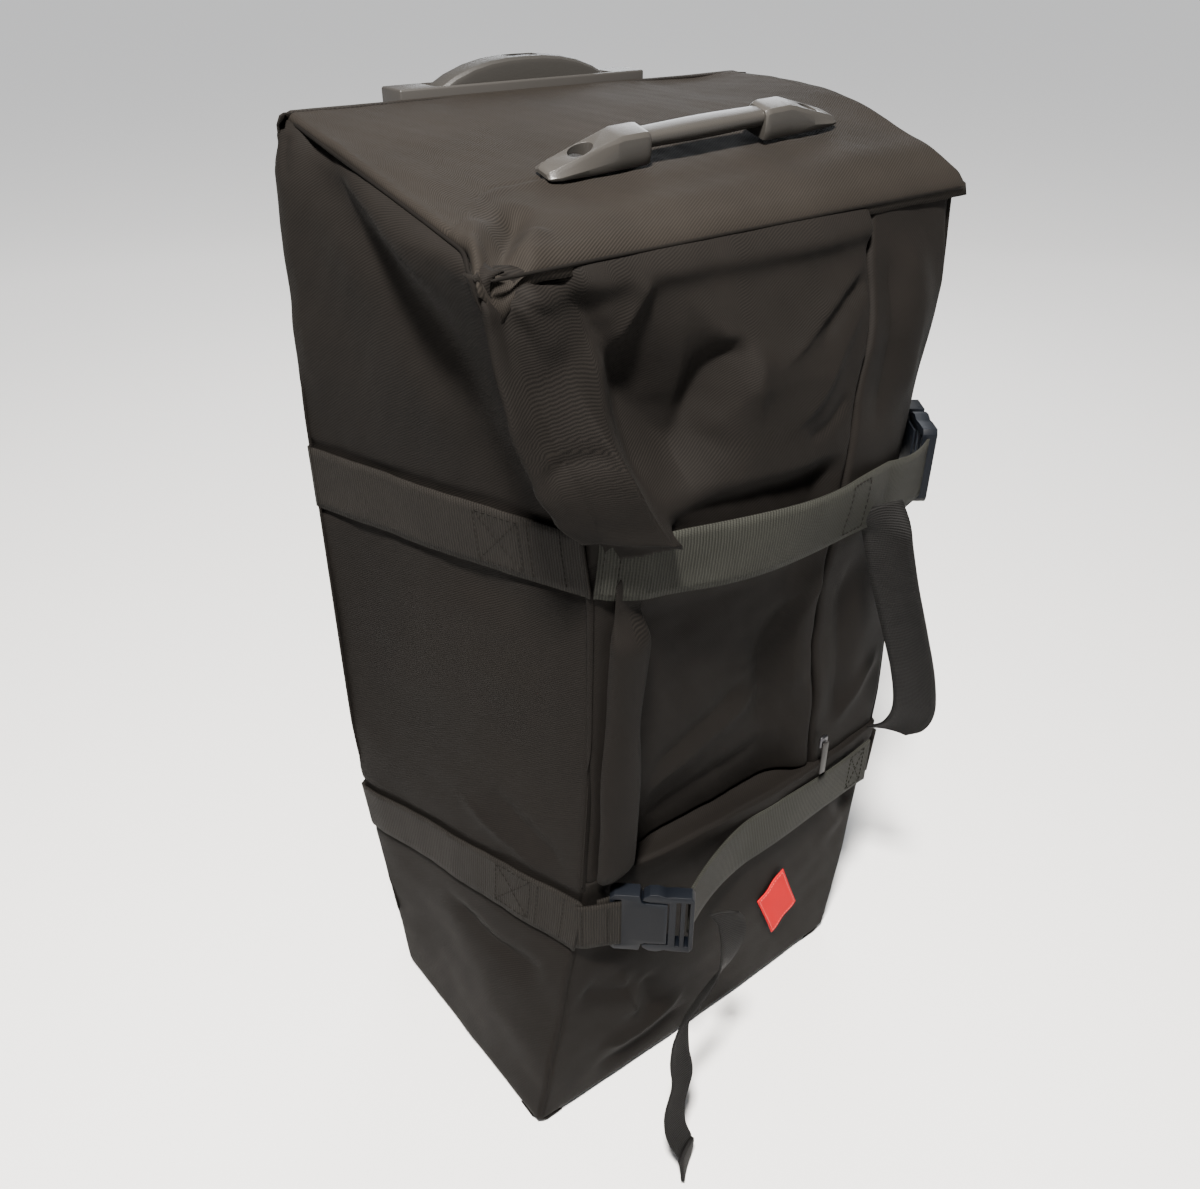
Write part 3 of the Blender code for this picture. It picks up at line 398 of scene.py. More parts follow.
class Nodes:
    """A short way to add shader nodes and link them."""

    def __init__(self, made):
        self.tree = made.node_tree

    def add(self, kind, settings=None, **inputs):
        node = self.tree.nodes.new(kind)
        for key, value in (settings or {}).items():
            setattr(node, key, value)
        for key, value in inputs.items():
            socket = node.inputs[int(key[1:])] if key[0] == "i" and key[1:].isdigit() else node.inputs[key]
            if isinstance(value, bpy.types.NodeSocket):
                self.tree.links.new(value, socket)
            else:
                socket.default_value = value
        return node

    def math(self, operation, a, b=0.0):
        return self.add("ShaderNodeMath", {"operation": operation}, i0=a, i1=b).outputs[0]

    def noise(self, vector, scale, detail=4.0, rough=0.55):
        return self.add("ShaderNodeTexNoise", None, Vector=vector, Scale=scale, Detail=detail,
                        Roughness=rough).outputs[0]

    def band(self, vector, pitch, turn):
        """Parallel ridges this far apart, turned by an angle in degrees."""
        placed = self.add("ShaderNodeMapping", None, Vector=vector, Rotation=(0.0, 0.0, math.radians(turn)))
        return self.add("ShaderNodeTexWave", {"wave_type": "BANDS", "bands_direction": "X"},
                        Vector=placed.outputs[0], Scale=math.pi / 10.0 / pitch, Distortion=0.0,
                        Detail=0.0).outputs["Fac"]

    def ramp(self, value, stops):
        node = self.add("ShaderNodeValToRGB", None, Fac=value)
        elements = node.color_ramp.elements
        for element, (place, color) in zip(elements, (stops[0], stops[-1])):
            element.position, element.color = place, (*color, 1)
        for place, color in stops[1:-1]:
            elements.new(place).color = (*color, 1)
        return node.outputs[0]

    def mix(self, share, a, b):
        node = self.add("ShaderNodeMix", {"data_type": "RGBA"})
        for socket, value in ((node.inputs[0], share), (node.inputs[6], a), (node.inputs[7], b)):
            if isinstance(value, bpy.types.NodeSocket):
                self.tree.links.new(value, socket)
            else:
                socket.default_value = value if not isinstance(value, tuple) else (*value, 1.0)[:4]
        return node.outputs[2]

    def add_up(self, *rows):
        """The sum of (value, weight) rows."""
        total = 0.0
        for value, weight in rows:
            total = self.math("ADD", self.math("MULTIPLY", value, weight), total)
        return total

    def greys(self, value, low, high, most):
        """A factor that rises from 0 to most as the value goes from low to high."""
        return self.ramp(value, ((low, (0.0,) * 3), (high, (most,) * 3)))

    def cloth(self, scale, shift):
        """The cloth's own coordinates, plain and with uneven threads."""
        plain = self.add("ShaderNodeUVMap", {"uv_map": "cloth"}).outputs[0]
        wobble = self.add("ShaderNodeVectorMath", {"operation": "SCALE"}, i0=self.noise(plain, scale, 2.0),
                          Scale=shift)
        uneven = self.add("ShaderNodeVectorMath", {"operation": "ADD"}, i0=plain, i1=wobble.outputs[0])
        return plain, uneven.outputs[0]

    def bump(self, height, strength, distance, normal=None):
        node = self.add("ShaderNodeBump", None, Height=height, Strength=strength, Distance=distance)
        if normal is not None:
            self.tree.links.new(normal, node.inputs["Normal"])
        return node.outputs[0]

    def link(self, socket, target):
        self.tree.links.new(socket, target)


def woven(name, dark, light, sheen, twill_pitch=0.0016):
    """Polyester twill: diagonal ribs over fine threads, with slow mottling from wear."""
    made, shader = new_material(name, dark, 0.8, sheen=sheen, gloss=0.055)
    n = Nodes(made)
    cloth, uneven = n.cloth(160.0, 0.0002)
    place = n.add("ShaderNodeTexCoord").outputs["Object"]
    weave = n.add_up((n.band(uneven, twill_pitch, 58.0), 0.55), (n.band(uneven, 0.00072, -30.0), 0.25),
                     (n.noise(cloth, 2600.0, 3.0, 0.7), 0.35))
    tone = n.ramp(weave, ((0.25, dark), (0.95, light)))
    mottle = n.noise(place, 9.0, 5.0, 0.6)
    tone = n.mix(n.greys(mottle, 0.35, 0.75, 0.35), tone, tuple(c * 1.2 for c in light))
    dust = n.greys(n.noise(cloth, 420.0, 2.0, 0.5), 0.72, 0.8, 0.1)
    n.link(n.mix(dust, tone, (0.035, 0.032, 0.029)), shader.inputs["Base Color"])
    n.link(n.math("ADD", n.math("MULTIPLY", mottle, 0.14), 0.7), shader.inputs["Roughness"])
    soft = n.bump(n.noise(place, 28.0, 3.0), 0.1, 0.004)
    n.link(n.bump(weave, 0.34, 0.0005, soft), shader.inputs["Normal"])
    return made


def ribbed(name, dark, light, sheen):
    """Webbing: ribs across its length, with finer cords along it."""
    made, shader = new_material(name, dark, 0.72, sheen=sheen, gloss=0.07)
    n = Nodes(made)
    cloth, uneven = n.cloth(220.0, 0.0008)
    fuzz = n.noise(cloth, 2200.0, 3.0, 0.7)
    weave = n.add_up((n.band(uneven, 0.0021, 0.0), 0.6), (n.band(uneven, 0.0012, 90.0), 0.2), (fuzz, 0.35))
    tone = n.ramp(weave, ((0.2, dark), (0.95, light)))
    wear = n.greys(n.noise(cloth, 26.0, 4.0), 0.4, 0.8, 0.3)
    n.link(n.mix(wear, tone, tuple(c * 1.3 for c in light)), shader.inputs["Base Color"])
    n.link(n.math("ADD", n.math("MULTIPLY", fuzz, 0.2), 0.62), shader.inputs["Roughness"])
    n.link(n.bump(weave, 0.8, 0.0007), shader.inputs["Normal"])
    return made


def moulded(name, color, roughness, grain, strength, edge=1.6, gloss=0.4):
    """Injection-moulded plastic: a fine spark-eroded grain, and edges polished by handling."""
    made, shader = new_material(name, color, roughness, gloss=gloss)
    n = Nodes(made)
    place = n.add("ShaderNodeTexCoord").outputs["Object"]
    fine, broad = n.noise(place, grain, 3.0, 0.6), n.noise(place, 14.0, 4.0)
    worn = n.greys(n.add("ShaderNodeNewGeometry").outputs["Pointiness"], 0.5, 0.62, 0.6)
    tone = n.mix(n.greys(broad, 0.3, 0.8, 0.5), color, tuple(c * 1.25 for c in color))
    n.link(n.mix(worn, tone, tuple(min(1.0, c * edge + 0.01) for c in color)), shader.inputs["Base Color"])
    n.link(n.math("ADD", n.math("MULTIPLY", broad, 0.16), roughness - 0.08), shader.inputs["Roughness"])
    n.link(n.bump(fine, strength, 0.0003), shader.inputs["Normal"])
    return made


def metal(name, color, roughness):
    """Drawn or plated metal with fine lines along it."""
    made, shader = new_material(name, color, roughness, metallic=1.0)
    n = Nodes(made)
    place = n.add("ShaderNodeTexCoord").outputs["Object"]
    drawn = n.add("ShaderNodeMapping", None, Vector=place, Scale=(1.0, 1.0, 0.02)).outputs[0]
    lines, stain = n.noise(drawn, 1800.0, 2.0), n.noise(place, 30.0, 4.0)
    n.link(n.mix(n.math("MULTIPLY", stain, 0.35), color, tuple(c * 0.7 for c in color)),
           shader.inputs["Base Color"])
    n.link(n.math("ADD", n.math("MULTIPLY", lines, 0.18), roughness - 0.06), shader.inputs["Roughness"])
    n.link(n.bump(lines, 0.08, 0.0002), shader.inputs["Normal"])
    return made


FABRIC = woven("twill_black", (0.0014, 0.0012, 0.0011), (0.0068, 0.0058, 0.005), sheen=0.003)
# The top's twill is the same cloth as the sides, made about twice as light: painted light where the overhead
# lamp falls on the top.
TOP_FABRIC_PAINTED_LIGHT = woven("twill_black_top_painted_light", (0.0028, 0.0024, 0.002), (0.013, 0.011, 0.0092), sheen=0.005)
WEB = ribbed("webbing_black", (0.0045, 0.0046, 0.0039), (0.0195, 0.02, 0.0168), sheen=0.006)
# The side straps' webbing is the front straps' webbing made about half as light: painted shade for the bag's
# shaded sides.
SIDE_WEB_PAINTED_SHADE = ribbed("webbing_black_side_painted_shade", (0.0022, 0.002, 0.0018), (0.0098, 0.0086, 0.0073), sheen=0.004)
# A still darker copy of the same webbing, for the hanging tail, the carry loop and the zip tape: painted
# shade where these sit out of the light.
DARKEST_WEB_PAINTED_SHADE = ribbed("webbing_black_tail_painted_shade", (0.0018, 0.0017, 0.0017), (0.0075, 0.0073, 0.0072), sheen=0.003)
PIPING = woven("piping_black", (0.0018, 0.0015, 0.0013), (0.007, 0.006, 0.005), sheen=0.003)
THREAD = moulded("thread_black", (0.0055, 0.005, 0.0044), 0.85, 3000.0, 0.5, gloss=0.05)
BUCKLE_BLACK = moulded("acetal_black", (0.0012, 0.0017, 0.0028), 0.42, 1500.0, 0.12, edge=4.0, gloss=0.07)
BLACK_PLASTIC = moulded("moulding_black", (0.005, 0.0047, 0.0045), 0.52, 1100.0, 0.4, edge=2.0, gloss=0.2)
GRIP_PLASTIC = moulded("tow_grip_grey", (0.011, 0.0103, 0.0093), 0.48, 1000.0, 0.45, edge=2.0, gloss=0.22)
BEZEL_PLASTIC = moulded("bezel_grey", (0.013, 0.0121, 0.0111), 0.43, 1000.0, 0.3, edge=2.0, gloss=0.22)
HANDLE_PLASTIC = moulded("grab_handle_grey", (0.018, 0.0167, 0.015), 0.36, 1300.0, 0.35, edge=2.2,
                         gloss=0.3)
RUBBER = moulded("wheel_rubber", (0.015, 0.015, 0.015), 0.75, 500.0, 0.5, edge=1.4)
BOARD = moulded("stiffener_board", (0.05, 0.05, 0.05), 0.85, 300.0, 0.4)
TUBE_METAL = metal("drawn_aluminium", (0.62, 0.63, 0.65), 0.32)
STEEL = metal("plated_steel", (0.55, 0.56, 0.58), 0.26)
ZIP_METAL = metal("zip_black_plate", (0.06, 0.06, 0.065), 0.38)
LABEL_RED = woven("label_red", (0.26, 0.0012, 0.004), (0.42, 0.003, 0.0085), sheen=0.0, twill_pitch=0.0011)
LABEL_THREAD = moulded("label_thread", (0.55, 0.05, 0.05), 0.7, 3000.0, 0.4)


# ---- panels ----
GATHER = (-0.181, 0.741)          # x and z of the gathered corner on the front
TUCK = 0.018                      # how far each panel turns in under the bag


def tucked(v, low_z, high_z):
    """Height and inward share for a panel whose lowest rows turn under the bag."""
    turned = np.clip(1.0 - v / 0.03, 0.0, 1.0)
    z = low_z + (high_z - low_z) * np.clip((v - 0.03) / 0.97, 0.0, 1.0)
    return z, turned


# The left side's cloth, in depth and height.
LEFT_SHAPE = (
    (((92, 800), (65, 786), (30, 760), (-6, 728), (-36, 690), (-54, 650), (-62, 610), (-64, 575)),
     -13, 22, 30, 0.15, 0.08, 0.2),
    (((80, 790), (33, 774), (-44, 742), (-88, 716)), 6, 16, 14, 0.1, 0.2, 0.3),
    (((98, 790), (94, 700), (90, 600)), 5, 20, 20, 0.1, 0.1, 0.4),
    (((100, 792), (92, 760)), -4, 6, 6, 0.5, 0.3, 0.5),
    (((110, 788), (105, 765)), -3, 4, 4, 0.5, 0.3, 0.5),
    (((-105, 700), (-98, 650), (-88, 600)), 5, 10, 20, 0.3, 0.3, 0.2),
    ((-60, 470), (60, 60), 6),
    ((-35, 515), (30, 18), -4),
    ((60, 420), (45, 110), -4),
    (((0, 310), (-40, 285), (-85, 262)), 3, 10, 6, 0.5),
    (((-30, 330), (-70, 300), (-105, 275)), -3.5, 12, 8, 0.5),
    (((30, 175), (-10, 163), (-60, 160), (-100, 170)), -7, 18, 10, 0.4),
    ((-60, 110), (50, 45), 6),
    ((50, 100), (50, 60), -6),
    ((95, 210), (30, 60), 4),
)


def left_out(y, z):
    """How far the left side's cloth stands out from its plain form."""
    out = shaped(y, z, LEFT_SHAPE)
    out += ripple(y, z, 0.16, 0.0016, 1.0) + ripple(y, z, 0.05, 0.0005, 2.0)
    edge = EDGE_Y + y
    return out * smoothstep(0.0, 0.03, edge + 0.004) * smoothstep(0.0, 0.02, z)


# The right side's cloth, in depth and height.
RIGHT_SHAPE = (
    (((-70, 735), (-30, 700), (20, 640), (40, 590)), -8, 22, 26, 0.1),
    ((20, 400), (70, 90), 5),
    (((-90, 480), (-30, 450), (30, 440)), -6, 14, 10, 0.4),
    (((-80, 180), (-20, 150), (50, 160)), -6, 16, 12, 0.4),
    ((30, 100), (60, 40), 5),
)


def right_out(y, z):
    out = shaped(y, z, RIGHT_SHAPE)
    out += ripple(y, z, 0.15, 0.0018, 4.0) + ripple(y, z, 0.05, 0.0005, 5.0)
    return out * smoothstep(0.0, 0.02, z)


def side_strap_z(side, upper, y):
    """The middle height of a side strap at each depth."""
    share = np.clip((EDGE_Y - y) / DEPTH, 0.0, 1.0)
    start = UPPER_STRAP_Z if upper else LOWER_STRAP_Z
    return start - (0.012 if upper and side > 0 else 0.0) * share ** 2


def pressed(side, y, z, out, shape):
    """The cloth's displacement, held down flat where the side's two straps cross it."""
    for upper in (True, False):
        middle = side_strap_z(side, upper, y)
        hold = np.exp(-((z - middle) / 0.0265) ** 8)
        out = out * (1 - hold) + (shape(y, middle) - 0.0014) * hold
        out -= 0.0012 * np.exp(-((np.abs(z - middle) - 0.0265) / 0.0035) ** 2)
    return out


def side(name, node, sign, shape, across, up, edge_radii):
    def surface(u, v):
        y = EDGE_Y - DEPTH * u
        top = top_z(sign * 0.191, y) - 0.004
        z, turned = tucked(v, 0.003, 1.0)
        z = np.where(turned > 0, z, 0.003 + (top - 0.003) * (1.0 - (1.0 - z) ** 1.35))
        back_radius, front_radius, top_radius = edge_radii
        inward = rounded(top - z, top_radius) + rounded((1 - u) * 0.23, front_radius)
        inward += rounded(u * 0.23, back_radius) + rounded(z, 0.012) + turned * TUCK
        out = pressed(sign, y, z, shape(y, z), shape)
        return side_x(sign, y, z) + sign * (out - inward), y, z

    obj = panel(name, surface, across, up, flip=sign > 0)
    return finished(obj, FABRIC, "case", "fabric", node)


def back():
    def surface(u, v):
        low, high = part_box("back_panel")[0].z, HEIGHT_BACK - 0.001
        z = low + (high - low) * v
        half = profile(BACK_X, z) - 0.0005
        x = half * (1 - 2 * u)
        inset = rounded(np.minimum(u, 1 - u) * 0.4, 0.01) + rounded(high - z, 0.006)
        out = ripple(x, z, 0.2, 0.0007, 3.0)
        out -= 0.0015 * np.exp(-((np.abs(x) - 0.15) / 0.02) ** 2)
        return x, EDGE_Y + 0.001 + out * smoothstep(0.0, 0.03, np.minimum(u, 1 - u)) - inset, z

    obj = panel("back_cloth", surface, 60, 120)
    finished(obj, FABRIC, "case", "fabric", "back_panel")


# The top, in x and depth.
TOP_SHAPE = (
    (((-185, 85), (-188, 0), (-186, -60)), 1.6, 6, 10, 0.2),
    # the dip that runs into the gathered corner, with lumps beside it
    (((-130, -60), (-147, -78), (-166, -98), (-183, -120)), -8.5, 9, 7, 0.3, 0.25, 0.0),
    (((-135, -88), (-152, -103), (-166, -114)), 4.5, 8, 8, 0.2),
    (((-160, -66), (-178, -90), (-187, -108)), 3.5, 7, 6, 0.2),
    ((135, -80), (50, 24), 3),
    ((130, 50), (75, 70), -7.5),
)


def top():
    def surface(u, v):
        y = -EDGE_Y - 0.003 + (DEPTH + 0.004) * v
        depth, height = np.clip(y, -EDGE_Y, EDGE_Y), HEIGHT_FRONT + 0.04 * v
        left = side_x(-1, depth, height) + 0.0095 * smoothstep(0.0, 0.12, v)
        right = side_x(1, depth, height) + 0.0015
        # the seam's end sticks out at the right front corner
        right = right + 0.008 * smoothstep(0.88, 1.0, 1 - v)
        x = left + (right - left) * u
        z = top_z(x, y)
        edge = np.minimum(u, 1 - u) * (right - left)
        fall = np.maximum(rounded(edge, 0.005), rounded(v * 0.234, 0.012))
        fall += rounded((1 - v) * 0.234, 0.0015)
        up = shaped(x, y, TOP_SHAPE)
        # the padded front edge, and pleats that run from its left end
        up += 0.004 * np.exp(-((y + 0.092) / 0.017) ** 2) * smoothstep(-0.15, -0.11, x)
        for end in ((-0.15, -0.11), (-0.14, -0.1), (-0.165, -0.08), (-0.186, -0.085)):
            up -= fold(x, y, ((-0.187, -0.12), end), 0.004, 0.004, 0.004, 0.5, 0.0, 0.7)
        # the sewn line of the front pocket strip
        seam_y = -0.074 + 0.04 * smoothstep(-0.195, -0.13, x) + 0.004 * np.sin(8 * x)
        up -= 0.001 * np.exp(-((y - seam_y) / 0.0012) ** 2) * smoothstep(0.03, -0.09, x)
        up += 0.001 * np.exp(-((y - seam_y + 0.004) / 0.0035) ** 2) * smoothstep(0.03, -0.09, x)
        up += ripple(x, y, 0.14, 0.0008, 6.0) + ripple(x, y, 0.04, 0.0003, 7.0)
        # pressed down along the grab handle, and flat along the bezel
        up -= 0.0012 * np.exp(-(np.maximum(np.abs(x - GRAB_X) - 0.105, 0) / 0.01) ** 2
                              - ((y - GRAB_Y) / 0.018) ** 2)
        up *= smoothstep(0.0, 0.02, EDGE_Y - y + 0.004)
        z = z + up - fall - 0.0004
        y = y - 0.0015 * smoothstep(0.06, 0.0, v) * np.sin(np.pi * np.clip(u, 0, 1))
        return x, y, z

    obj = panel("top_cloth", surface, 176, 110)
    # The top takes the lighter twill copy: painted light on the upward-facing panel.
    finished(obj, TOP_FABRIC_PAINTED_LIGHT, "case", "fabric", "top_panel")


# The lid and the corner beside it, in x and height.
COVER_SHAPE = (
    # the fold that hangs over the upper strap
    (((-150, 700), (-136, 668), (-119, 634), (-103, 603), (-89, 578)), 27, 7, 36, 0.75, 0.6, 0.0),
    # the hollow's right rim
    (((-12, 690), (-26, 662), (-52, 628)), 5, 16, 10, 0.3),
    # a short tuck across the overhanging fold, and creases near the gathered corner
    (((-176, 640), (-150, 650), (-128, 655)), -3.5, 7, 6, 0.6),
    (((-88, 735), (-101, 712), (-115, 694)), 5.5, 8, 7, 0.5, 0.2, 0.3),
    (((-158, 752), (-140, 735), (-125, 712), (-116, 690)), -8, 9, 12, 0.3, 0.15, 0.3),
    (((-172, 742), (-160, 722), (-145, 696)), 4.5, 10, 12, 0.3, 0.2, 0.4),
    ((-85, 742), (60, 10), 3),
    # two thin creases running down from the right seam
    (((96, 716), (60, 702), (20, 684), (-8, 668)), 4.2, 5, 9, 0.6),
    (((94, 706), (60, 692), (26, 674)), -3.4, 5, 7, 0.5),
    (((90, 696), (54, 674), (22, 644), (0, 622)), 3.4, 6, 12, 0.5),
    ((40, 735), (60, 12), 3),
    ((28, 655), (30, 32), 4),
    (((62, 640), (36, 622), (14, 618)), -3.4, 6, 8, 0.5),
    # below the strap
    (((72, 520), (60, 470), (62, 420), (78, 350)), 6, 12, 16, 0.3),
    (((58, 500), (40, 440), (44, 380), (60, 320)), -6, 16, 12, 0.3),
    (((-80, 320), (-30, 345), (30, 380), (52, 400)), 3.5, 10, 14, 0.4),
    (((-70, 345), (-20, 372), (30, 410)), -3, 12, 10, 0.4),
    (((-70, 290), (0, 305), (70, 320)), -3, 10, 10, 0.4),
    ((-30, 440), (40, 50), 3),
)


def cover_outward(x, z):
    """How far the fabric of the lid and the corner beside it stands out from the plain front."""
    out = shaped(x, z, COVER_SHAPE)
    # the hollow in the middle, with its steep upper left edge
    crest = profile(((-0.124, 0.714), (-0.09, 0.732), (-0.061, 0.722), (-0.036, 0.694)), x)
    foot = profile(((-0.124, 0.7), (-0.103, 0.668), (-0.065, 0.634), (-0.036, 0.68)), x)
    deep = smoothstep(crest, foot, z) * (z > foot) + smoothstep(0.59, foot, z) * (z <= foot)
    out -= 0.03 * deep * smoothstep(-0.128, -0.098, x) * smoothstep(-0.02, -0.055, x)
    # pleats that run from the gathered corner
    for end in ((-0.176, 0.69), (-0.16, 0.697), (-0.143, 0.716), (-0.136, 0.742)):
        out -= fold(x, z, (GATHER, end), 0.0045, 0.004, 0.005, 0.5, 0.0, 0.7)
    # falls away to the strap
    seam = profile(LID_SEAM_X, z)
    out -= 0.01 * smoothstep(0.605, 0.585, z) * smoothstep(-0.11, -0.04, x) * smoothstep(0.0, 0.03, seam - x)
    # below the strap the lid lies back between the roll and the right border
    back_off = smoothstep(0.535, 0.5, z) * smoothstep(-0.104, -0.085, x)
    out -= 0.006 * back_off * smoothstep(0.01, 0.045, seam - x)
    back_off = smoothstep(0.35, 0.275, z) * smoothstep(-0.1, -0.08, x)
    out -= 0.006 * back_off * smoothstep(0.012, 0.05, seam - x)
    out += ripple(x, z, 0.11, 0.0011, 8.0) + ripple(x, z, 0.035, 0.00035, 9.0)
    return out


def cover_left(z):
    """The x of the left seam, and of the line furthest left on the cover."""
    seam_left = profile(LEFT_FRONT_X, z) + 0.001
    return seam_left, np.minimum(profile(OVERHANG_X, z), seam_left + 0.004)


def cover_y(x, z):
    """The depth of the lid's face, for what is sewn on it."""
    left = cover_left(z)[1]
    out = cover_outward(x, z) * smoothstep(0.0, 0.03, x - left + 0.006)
    fall = rounded(profile(LID_SEAM_X, z) - x, 0.006) + rounded(LID_HIGH_Z - z, 0.007)
    return front_y(np.maximum(x, profile(LEFT_FRONT_X, z)), z) - out + fall


def front_cover():
    """The lid with the corner strip beside it, as one cloth."""
    roll_share = 0.055

    def surface(u, v):
        z = LID_LOW_Z + (LID_HIGH_Z - LID_LOW_Z) * v
        seam_left, left = cover_left(z)
        right = profile(LID_SEAM_X, z) - 0.0005
        forward = profile(OVERHANG_Y, z)
        t = np.clip(u / roll_share, 0.0, 1.0)
        w = np.clip((u - roll_share) / (1 - roll_share), 0.0, 1.0)
        x_front = left + (right - left) * w
        hang = forward * np.exp(-((x_front - left) / 0.055) ** 2)
        out = cover_outward(x_front, z) * smoothstep(0.0, 0.03, x_front - left + 0.006)
        out += hang
        # both long edges roll under to their seams
        fall = rounded((x_front - left) + 0.0005, 0.006) * 0.6 + rounded(right - x_front, 0.006)
        fall += rounded(LID_HIGH_Z - z, 0.009) - 0.005 * np.exp(-((z - 0.733) / 0.008) ** 2)
        fall += 0.9 * rounded(z - LID_LOW_Z, 0.004)
        # drawn in at the gathered corner
        fall += bump(x_front, z, GATHER, (0.01, 0.012), 0.01)
        y_front = np.minimum(front_y(np.maximum(x_front, profile(LEFT_FRONT_X, z)), z), -EDGE_Y) - out + fall
        # the fabric to the left of the outermost line turns back to the seam
        y_left = -EDGE_Y + 0.0005
        angle = 0.5 * np.pi * t
        edge_y = (-EDGE_Y - forward + rounded(np.full_like(z, 0.0005), 0.006) * 0.6
                  + rounded(LID_HIGH_Z - z, 0.007) + bump(left, z, GATHER, (0.01, 0.012), 0.01))
        x_roll = seam_left + (left - seam_left) * np.sin(angle)
        y_roll = y_left + (edge_y - y_left) * (1 - np.cos(angle)) ** 0.8
        x = np.where(u < roll_share, x_roll, x_front)
        y = np.where(u < roll_share, y_roll, y_front)
        # hanging cloth sags over the top of the strap
        sag = hang + np.maximum(cover_outward(x_front, z), 0.0)
        sunk = z - 0.4 * np.where(u < roll_share, forward * np.sin(angle), sag)
        z = np.where(z > SAG_FLOOR_Z, np.maximum(sunk, SAG_FLOOR_Z + 0.25 * (z - SAG_FLOOR_Z)), z)
        return x, y, z

    obj = panel("front_cover", surface, 150, 220)
    finished(obj, FABRIC, None, "fabric", "front_lid", "left_front_border")
    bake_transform(obj)


# The border right of the lid, in x and height.
RIGHT_BORDER_SHAPE = (
    (((140, 730), (148, 660), (132, 600)), 5, 20, 18, 0.1),
    (((118, 720), (112, 660), (95, 600)), -5, 12, 16, 0.3),
    ((150, 430), (40, 70), 6),
    (((100, 500), (112, 440), (128, 370), (146, 300)), -7, 14, 14, 0.3),
    (((130, 300), (160, 330), (185, 370)), 4, 12, 12, 0.3),
    (((120, 520), (150, 500), (180, 505)), -4, 10, 10, 0.4),
)


def right_border():
    def surface(u, v):
        z = LID_LOW_Z - 0.004 + (LID_HIGH_Z - LID_LOW_Z + 0.004) * v
        left = profile(LID_SEAM_X, z) + 0.0012
        right = profile(RIGHT_FRONT_X, z) - 0.002
        x = left + (right - left) * u
        out = shaped(x, z, RIGHT_BORDER_SHAPE)
        out += ripple(x, z, 0.1, 0.0012, 11.0)
        width = right - left
        fall = rounded((1 - u) * width, 0.01) + rounded(u * width, 0.006) + rounded(LID_HIGH_Z - z, 0.007)
        return x, front_y(x, z) - out + fall, z

    obj = panel("right_border_cloth", surface, 64, 200)
    finished(obj, FABRIC, "case", "fabric", "right_front_border")


# The panel under the lid, in x and height.
LOWER_FRONT_SHAPE = (
    (((-140, 150), (-105, 128), (-75, 120)), -6, 16, 12, 0.3),
    (((-96, 150), (-88, 110), (-76, 76)), 6, 8, 14, 0.5),
    (((-70, 130), (-62, 90), (-50, 60)), -5.5, 10, 12, 0.4),
    (((-120, 60), (-80, 52), (-20, 70)), 5, 12, 8, 0.4),
    (((-130, 40), (-80, 30), (-10, 45)), -4, 10, 10, 0.4),
    ((-105, 190), (30, 26), -6),
    (((130, 250), (150, 190), (180, 150)), 4.5, 12, 16, 0.3),
    (((150, 262), (168, 215), (190, 170)), -6, 12, 12, 0.3),
    ((20, 140), (70, 50), 4),
)


def lower_front():
    high = LID_LOW_Z + 0.004

    def surface(u, v):
        ledge = np.clip((v - 0.96) / 0.04, 0.0, 1.0)
        z, turned = tucked(np.minimum(v / 0.96, 1.0), 0.003, high)
        left, right = profile(LEFT_FRONT_X, z) + 0.001, profile(RIGHT_FRONT_X, z) - 0.001
        x = left + (right - left) * u
        # the panel's top is a free folded edge that stands forward of the lid behind it
        out = 0.0045 * smoothstep(high - 0.06, high - 0.008, z) * smoothstep(0.0, 0.06, x + 0.115)
        out += shaped(x, z, LOWER_FRONT_SHAPE)
        out += ripple(x, z, 0.12, 0.001, 12.0) + ripple(x, z, 0.04, 0.0003, 13.0)
        out *= smoothstep(0.0, 0.02, z)
        # pressed in under the strap
        out -= 0.001 * np.exp(-((z - LOWER_STRAP_Z) / 0.022) ** 6)
        side = np.minimum(u, 1 - u) * (right - left)
        fall = rounded(side, 0.006) + rounded(z, 0.012) + rounded(high - z, 0.0025) + turned * TUCK
        fall += 0.036 * ledge
        return x, front_y(x, z) - out + fall, z - 0.0058 * smoothstep(0.0, 0.3, ledge)

    obj = panel("lower_front_cloth", surface, 150, 110)
    finished(obj, FABRIC, "case", "fabric", "lower_front_panel")


# ---- piping and seams ----
def pipings():
    high = HEIGHT_FRONT - 0.004
    y = np.linspace(EDGE_Y - 0.002, -EDGE_Y - 0.001, 60)
    for name, side, inset in (("left", -1, 0.01), ("right", 1, 0.0)):
        inset = inset * smoothstep(-EDGE_Y, -0.085, y)
        x = side_x(side, y, HEIGHT_FRONT + 0.04 * (y + EDGE_Y) / 0.23) - side * (inset - 0.0002)
        z = top_z(x, y) - 0.0062 + 0.0022 * (inset > 0.004)
        line = points_of(x, y, z)[3:]
        finished(tube("piping_top_" + name, line, 0.0013, 8), PIPING, "case", "fabric")
    x = np.linspace(-0.186, 0.198, 90)
    line = points_of(x, -EDGE_Y - 0.003, high - 0.003)
    finished(tube("piping_top_front", line, 0.0011, 8), PIPING, "case", "fabric")
    z = np.linspace(0.012, high, 150)
    for name, side in (("left", -1), ("right", 1)):
        x = profile(LEFT_FRONT_X if side < 0 else RIGHT_FRONT_X, z) - side * 0.002
        line = points_of(x, -EDGE_Y + 0.003, z)
        finished(tube("piping_front_" + name, line, 0.0015, 8), PIPING, "case", "fabric")
        line = points_of(side * (profile(BACK_X, z) - 0.004), EDGE_Y - 0.0035, z)
        finished(tube("piping_back_" + name, line, 0.0015, 8), PIPING, "case", "fabric")


